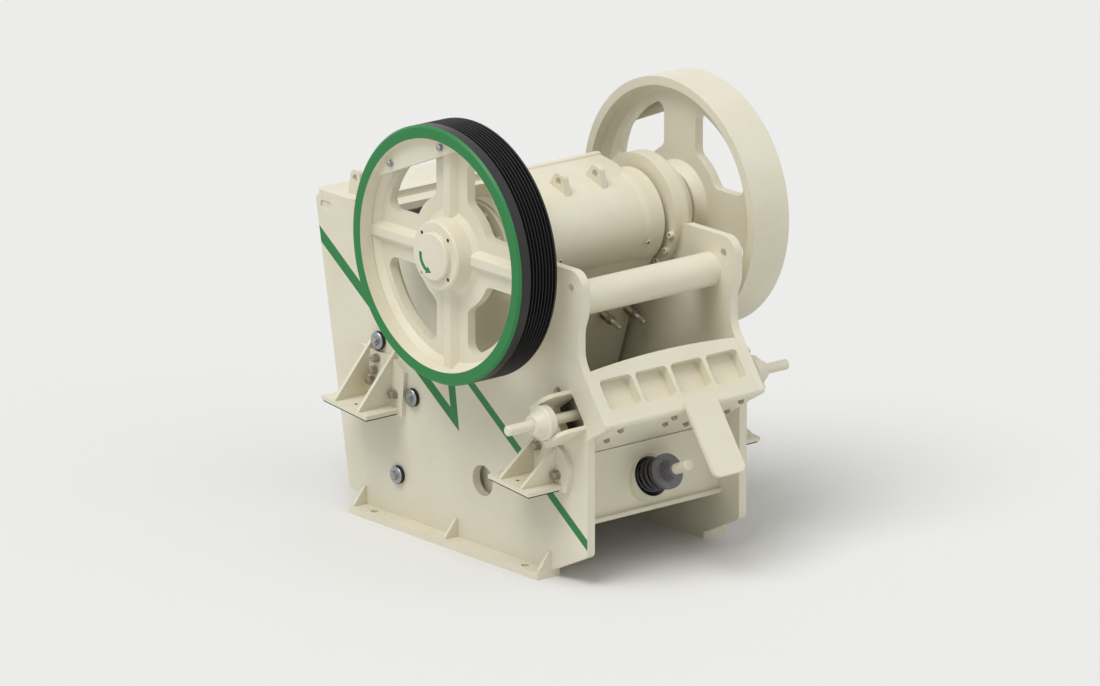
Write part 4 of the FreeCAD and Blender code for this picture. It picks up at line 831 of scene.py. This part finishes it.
@dataclass
class Studio:
    """Pale floor, soft lamps and a long lens from the photograph's side."""

    target: Vector
    width: float = 7.0024
    lens: float = 300.0
    azimuth: float = -40.10
    elevation: float = 16.12
    floor_half: float = 120.0
    ambient: float = 0.44

    def towards_camera(self) -> Vector:
        """Direction from the machine to the camera."""
        turn, rise = math.radians(self.azimuth), math.radians(self.elevation)
        return Vector((math.sin(turn) * math.cos(rise), -math.cos(turn) * math.cos(rise),
                       math.sin(rise)))

    def build(self) -> None:
        """Set up everything round the machine."""
        self.set_camera()
        self.lay_floor()
        self.hang_lamps()
        self.light_world()
        bpy.context.scene.view_settings.view_transform = "Standard"

    def set_camera(self) -> None:
        """Stand the camera so far back that the view is as good as parallel."""
        lens = bpy.data.cameras.new("camera")
        lens.lens = self.lens
        distance = self.width * self.lens / lens.sensor_width
        lens.clip_end = distance * 3
        camera = Bench.stand("camera", lens)
        back = self.towards_camera()
        camera.location = self.target + back * distance
        camera.rotation_euler = (-back).to_track_quat("-Z", "Y").to_euler()
        bpy.context.scene.camera = camera

    def lay_floor(self) -> None:
        """Lay one wide pale floor at the feet."""
        floor = Bench.add(bpy.ops.mesh.primitive_plane_add, size=2 * self.floor_half)
        floor.name = "floor"
        Bench.paint(floor, Finish("matt_studio_floor", "#E4E4E2", roughness=0.9,
                                  grain_mm=400.0, grain_height_mm=0.01))

    def hang_lamps(self) -> None:
        """Two broad soft suns: one high over the camera's left, one weaker at its right."""
        for name, strength, spread, azimuth, elevation in (
                ("soft_key", 1.95, 40.0, -84.0, 63.0), ("soft_fill", 0.3, 60.0, 15.0, 50.0)):
            sun = bpy.data.lights.new(name, "SUN")
            sun.energy = strength
            sun.angle = math.radians(spread)
            lamp = Bench.stand(name, sun)
            lamp.rotation_euler = (math.radians(90 - elevation), 0, math.radians(azimuth))

    def light_world(self) -> None:
        """Even light from all round; seen directly, the world is plain white."""
        world = bpy.data.worlds.new("studio")
        bpy.context.scene.world = world
        world.use_nodes = True
        tree = world.node_tree
        tree.nodes.clear()
        path = add_node(tree, "ShaderNodeLightPath")
        seen = path.outputs["Is Camera Ray"]
        for ray in ("Is Glossy Ray", "Is Transmission Ray"):
            seen = add_node(tree, "ShaderNodeMath", {0: seen, 1: path.outputs[ray]},
                            operation="MAXIMUM").outputs[0]
        strength = add_node(tree, "ShaderNodeMapRange", {
            "Value": seen, "To Min": self.ambient, "To Max": 1.0}).outputs[0]
        shader = add_node(tree, "ShaderNodeBackground", {
            "Color": (1, 1, 1, 1), "Strength": strength})
        add_node(tree, "ShaderNodeOutputWorld", {"Surface": shader.outputs[0]})


@dataclass
class Flywheel:
    """One spoked wheel with its hub cap, counterweight and their bolts."""

    side: Side
    node: str
    paint: Finish
    hub_screw_radius: float = mm(180)
    weight_bolt_radius: float = mm(692)
    weight_middle: float = 67.7
    weight_bolt_spread: float = 22.5
    lip_inner: float = mm(743)
    lip_seat: float = mm(768)
    lip_depth: float = mm(96)

    def build(self) -> None:
        """Dress the wheel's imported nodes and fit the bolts."""
        word = self.side.word
        dress(self.paint, self.node)
        dress(CREAM_CASTING, f"counterweight_{word}")
        dress(ARROW_CREAM, f"hub_cap_{word}")
        self.fit_hub_screws()
        self.fit_weight_bolts()
        if self.paint is WHEEL_CREAM:
            self.fit_rim_lip()

    def fit_rim_lip(self) -> None:
        """Thicken the rim inwards to the depth of its painted face."""
        lip = Bench.lathe(self.lip_profile(), 128)
        Bench.paint(lip, self.paint, smooth=25.0)
        places = SHAFT.ring(self.side.face(self.node), 0, [0], self.side.outward)
        fit(f"rim_lip_{self.side.word}", lip, places, "rotor")

    def lip_profile(self) -> list[tuple[float, float]]:
        """Closed half section of the lip, its face at height 0."""
        inner, seat, depth, edge = self.lip_inner, self.lip_seat, self.lip_depth, mm(1.5)
        return [(seat, -mm(0.3)), (seat, -edge), (inner + mm(2), -depth), (inner, -depth),
                (inner, -edge), (inner + edge, -mm(0.3)), (seat, -mm(0.3))]

    def fit_hub_screws(self) -> None:
        """Four sunk screws in the hub's face, between the spokes."""
        places = SHAFT.ring(self.side.face(self.node), self.hub_screw_radius,
                            (45, 135, 225, 315), self.side.outward)
        fit(f"hub_screws_{self.side.word}", DrilledHole(radius=mm(12)).model(), places, "rotor")

    def fit_weight_bolts(self) -> None:
        """Two bolts through the counterweight, near its ends."""
        face = self.side.face(f"counterweight_{self.side.word}")
        bolt = HexBolt(washer_radius=mm(24), finish=ZINC).model()
        angles = [self.weight_middle + sign * self.weight_bolt_spread for sign in (-1, 1)]
        places = SHAFT.ring(face, self.weight_bolt_radius, angles, self.side.outward)
        fit(f"counterweight_bolts_{self.side.word}", bolt, places, "rotor")


@dataclass
class Bearing:
    """One bearing housing with its outer cover and both rings of screws."""

    side: Side
    cover_circle: float = mm(240)
    cover_count: int = 8
    flange_circle: float = mm(350)
    flange_angles: tuple[float, ...] = (-54, -34, -14, 194, 214, 234)
    cover_face: float = mm(768)
    flange_face: float = mm(548)

    def build(self) -> None:
        """Dress the castings and fit the screws."""
        word = self.side.word
        dress(CREAM_CASTING, f"bearing_housing_{word}", f"bearing_cover_{word}")
        around = [360 * (index + 0.5) / self.cover_count for index in range(self.cover_count)]
        self.fit_screws("bearing_cover_screws", self.cover_face, self.cover_circle, around,
                        self.side.outward)
        self.fit_screws("housing_flange_screws", self.flange_face, self.flange_circle,
                        self.flange_angles, -self.side.outward)

    def fit_screws(self, name: str, face: float, circle: float, angles: Sequence[float],
                   direction: Vector) -> None:
        """Set cap screws round the shaft on a face so far from the machine's middle."""
        places = SHAFT.ring(face * self.side.value, circle, angles, direction)
        fit(f"{name}_{self.side.word}", CapScrew().model(), places, "frame")


@dataclass
class LinerBolts:
    """Big bolts that hold the cheek plates: rubber ring, cup washer, nut and stud."""

    side: Side
    places_mm: tuple[tuple[float, float], ...] = ((1101, 1171), (764, 867), (915, 320))
    washer_radius: float = mm(60)
    rubber: float = mm(27)
    washer: float = mm(8)

    def build(self) -> None:
        """Model one bolt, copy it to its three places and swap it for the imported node."""
        node = f"liner_bolts_{self.side.word}"
        face = self.side.face(f"side_plate_{self.side.word}")
        places = [Bench.facing(SHAFT.ahead(face, y, z), self.side.outward, 15)
                  for y, z in self.places_mm]
        fit(f"{node}_dressed", self.model(), places, "frame", [node])

    def model(self) -> Piece:
        """Model the stack on the bench."""
        radius, low = self.washer_radius, self.rubber
        rubber = Bench.lathe([(0, 0), (radius * 0.97, 0), (radius, low * 0.2),
                              (radius, low * 0.8), (radius * 0.97, low), (0, low)], 40)
        Bench.paint(rubber, RUBBER, smooth=35.0)
        high = low + self.washer
        cup = Bench.lathe([(0, low), (radius * 0.96, low), (radius * 0.97, low + mm(1.5)),
                           (radius * 0.9, high - mm(2)), (radius * 0.62, high),
                           (0, high)], 40)
        Bench.paint(cup, ZINC, smooth=35.0)
        nut = StudNut().model()
        nut.matrix_world = Matrix.Translation((0, 0, high))
        return Bench.join("liner_bolt", [rubber, cup, nut])


# Plugs on the barrel: mm along the shaft, degrees from +Y towards +Z, mm out to the seat.
BARREL_PLUGS = ((-334, 199, 302), (384, 199, 310))
# Outline of the crown in front of the barrel: mm forward of the shaft line and up.
CROWN_OUTLINE = ((-110, 2309), (64, 2367), (203, 2391), (207, 2404), (232, 2410), (274, 2398),
                 (270, 2215), (150, 2190))


@dataclass
class SwingJaw:
    """The pitman's crown, the tie bolts behind it and the plugs on its barrel."""

    bolt_foot_mm: tuple[float, float] = (60.1, 1395.1)
    bolt_lean: float = 18.8
    bolt_places_mm: tuple[float, ...] = (-520, -315, 315, 520)
    plug_places: tuple[tuple[float, float, float], ...] = BARREL_PLUGS
    crown_outline: tuple[tuple[float, float], ...] = CROWN_OUTLINE
    crown_half: float = mm(427)
    crown_edge: float = mm(3)

    def build(self) -> None:
        """Swap the tie bolts for modelled ones, then set the crown and the plugs."""
        places = [Bench.facing(SHAFT.ahead(mm(x), *self.bolt_foot_mm),
                               slant(180 + self.bolt_lean), 10) for x in self.bolt_places_mm]
        fit("jaw_bolts_dressed", JawBolt().model(), places, "pitman", ["jaw_bolts"])
        self.fit_crown()
        self.fit_plugs()

    def fit_crown(self) -> None:
        """Flat cast crown that rises in front of the barrel, with a low ledge along it."""
        mesh = bpy.data.meshes.new("crown")
        outline = [SHAFT.ahead(-self.crown_half, y, z) for y, z in self.crown_outline]
        mesh.from_pydata(outline, [], [range(len(outline))])
        crown = Bench.stand("crown", mesh)
        with Bench.editing(crown):
            bpy.ops.mesh.select_all(action="SELECT")
            bpy.ops.mesh.extrude_region_move(
                TRANSFORM_OT_translate={"value": (2 * self.crown_half, 0, 0)})
            Bench.seal()
            bpy.ops.mesh.bevel(offset=self.crown_edge, segments=3, affect="EDGES")
        Bench.paint(crown, CREAM_CASTING, smooth=35.0)
        fit("pitman_crown", crown, [Matrix()], "pitman")

    def fit_plugs(self) -> None:
        """Grease plugs sunk into the barrel's rear side."""
        barrel = ShaftLine.measure("eccentric_shaft")
        places = [Bench.facing(barrel.point(mm(along), mm(radius), angle), slant(angle))
                  for along, angle, radius in self.plug_places]
        plug = CapScrew(radius=mm(19), height=mm(6), socket=mm(11)).model()
        fit("barrel_plugs", plug, places, "pitman")


@dataclass
class TensionGear:
    """The tension rod's spring with its washer, seen through the rear wall."""

    pin_mm: tuple[float, float] = (300, 113)
    lean: float = 23.1
    spring_front: float = mm(985)
    spring_rear: float = mm(1335)
    outer_radius: float = mm(107)
    wire: float = mm(15)

    def build(self) -> None:
        """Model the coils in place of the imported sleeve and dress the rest."""
        backwards = slant(180 - self.lean)
        seat = SHAFT.ahead(0, *self.pin_mm) + backwards * self.spring_front
        spring = CoilSpring(self.outer_radius - self.wire, self.wire,
                            self.spring_rear - self.spring_front).model()
        fit("tension_spring_coils", spring, [Bench.facing(seat, backwards)], "frame",
            ["tension_spring"])
        dress(PHOSPHATE, "spring_washer", "rod_nut")
        dress(CREAM_MACHINED, "tension_rod")


@dataclass
class ToggleBeam:
    """The rear beam with the bolts on its underside, placed from its rear lower corner."""

    corner_mm: tuple[float, float] = (-1124, 1079)
    angle: float = -35.5
    bolt_places_mm: tuple[tuple[float, float], ...] = (
        (-498, 70), (-498, 232), (-57, 70), (-57, 175), (203, 300), (498, 70), (498, 232))

    def build(self) -> None:
        """Dress the casting and set the bolts."""
        dress(CREAM_CASTING, "toggle_beam")
        bolt = HexBolt(across=mm(30), head=mm(15), washer_radius=mm(22), washer=mm(4)).model()
        places = [Bench.facing(SHAFT.leaning(mm(along), self.corner_mm, self.angle, depth),
                               slant(self.angle - 90), 12)
                  for along, depth in self.bolt_places_mm]
        fit("beam_underside_bolts", bolt, places, "frame")


@dataclass
class Brackets:
    """Both shelf brackets of one side, with the bolts in their flanges and shelf holes."""

    side: Side
    angle: float = 5.3
    front_mm: tuple[float, float] = (873, 768)
    rear_mm: tuple[float, float] = (-731, 634)
    flange_face: float = mm(690)
    shelf_hole_out: float = mm(870)
    shelf_hole_along: float = 215
    front_bolts: tuple[tuple[float, float], ...] = ((245, 272), (262, 186), (279, 110), (50, 88))
    rear_bolts: tuple[tuple[float, float], ...] = ((243, 192), (45, 60))

    def build(self) -> None:
        """Dress the plates and pads, then set bolts and holes."""
        word = self.side.word
        dress(CREAM_PLATE, f"front_bracket_{word}", f"rear_bracket_{word}")
        dress(RUBBER, f"front_bracket_pad_{word}", f"rear_bracket_pad_{word}")
        face = self.flange_face * self.side.value
        places = [Bench.facing(SHAFT.leaning(face, corner, self.angle, along, rise),
                               self.side.outward, 20)
                  for corner, bolts in ((self.front_mm, self.front_bolts),
                                        (self.rear_mm, self.rear_bolts))
                  for along, rise in bolts]
        bolt = HexBolt(across=mm(46), head=mm(38), washer=mm(9)).model()
        fit(f"bracket_bolts_{word}", bolt, places, "frame")
        out = self.shelf_hole_out * self.side.value
        holes = [Bench.facing(SHAFT.leaning(out, corner, self.angle, self.shelf_hole_along),
                              slant(self.angle + 90)) for corner in (self.front_mm, self.rear_mm)]
        fit(f"bracket_shelf_holes_{word}", DrilledHole().model(), holes, "frame")


@dataclass
class Adjuster:
    """Setting cylinder and shelves of one side, with the bolt over them."""

    side: Side
    plate_bolt_mm: tuple[float, float] = (-658, 1228)

    def build(self) -> None:
        """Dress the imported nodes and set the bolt."""
        word = self.side.word
        dress(CREAM_PLATE, f"adjuster_shelves_{word}")
        dress(CREAM_MACHINED, f"setting_cylinder_{word}")
        dress(TURNED_STEEL, f"adjusting_wedge_{word}")
        face = self.side.face(f"side_plate_{word}")
        bolt = HexBolt(washer_radius=mm(27), washer=mm(4)).model()
        place = Bench.facing(SHAFT.ahead(face, *self.plate_bolt_mm), self.side.outward)
        fit(f"adjuster_plate_bolt_{word}", bolt, [place], "frame")


class Machine:
    """The whole crusher, put together from its sub-assemblies."""

    def build(self) -> None:
        """Dress the plain nodes, then build each sub-assembly."""
        self.dress_plain_nodes()
        for side in Side:
            grooved = side is Side.LEFT
            Flywheel(side, "drive_flywheel" if grooved else "plain_flywheel",
                     WHEEL_CREAM if grooved else CREAM_CASTING).build()
            Bearing(side).build()
            LinerBolts(side).build()
            Brackets(side).build()
            Adjuster(side).build()
        SwingJaw().build()
        TensionGear().build()
        ToggleBeam().build()

    def dress_plain_nodes(self) -> None:
        """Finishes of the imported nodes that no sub-assembly dresses."""
        for side in Side:
            dress(STRIPED_CREAM, f"side_plate_{side.word}")
            dress(CREAM_PLATE, f"foot_{side.word}")
            dress(MANGANESE, f"cheek_plate_{side.word}")
        dress(CREAM_PLATE, "front_wall", "rear_wall", "rear_guard_plate", "cross_tube", "top_cap",
              "spring_pocket")
        dress(CREAM_CASTING, "fixed_jaw_clamp", "pitman", "swing_jaw_clamp")
        dress(MANGANESE, "fixed_jaw_plate", "swing_jaw_plate")
        dress(TURNED_STEEL, "toggle_plate", "toggle_seat", "eccentric_shaft")


def main() -> None:
    """Build the studio and the machine."""
    Studio(target=Vector((0.1186, 0.0055, 1.1738))).build()
    Machine().build()


if __name__ == "__main__":
    main()
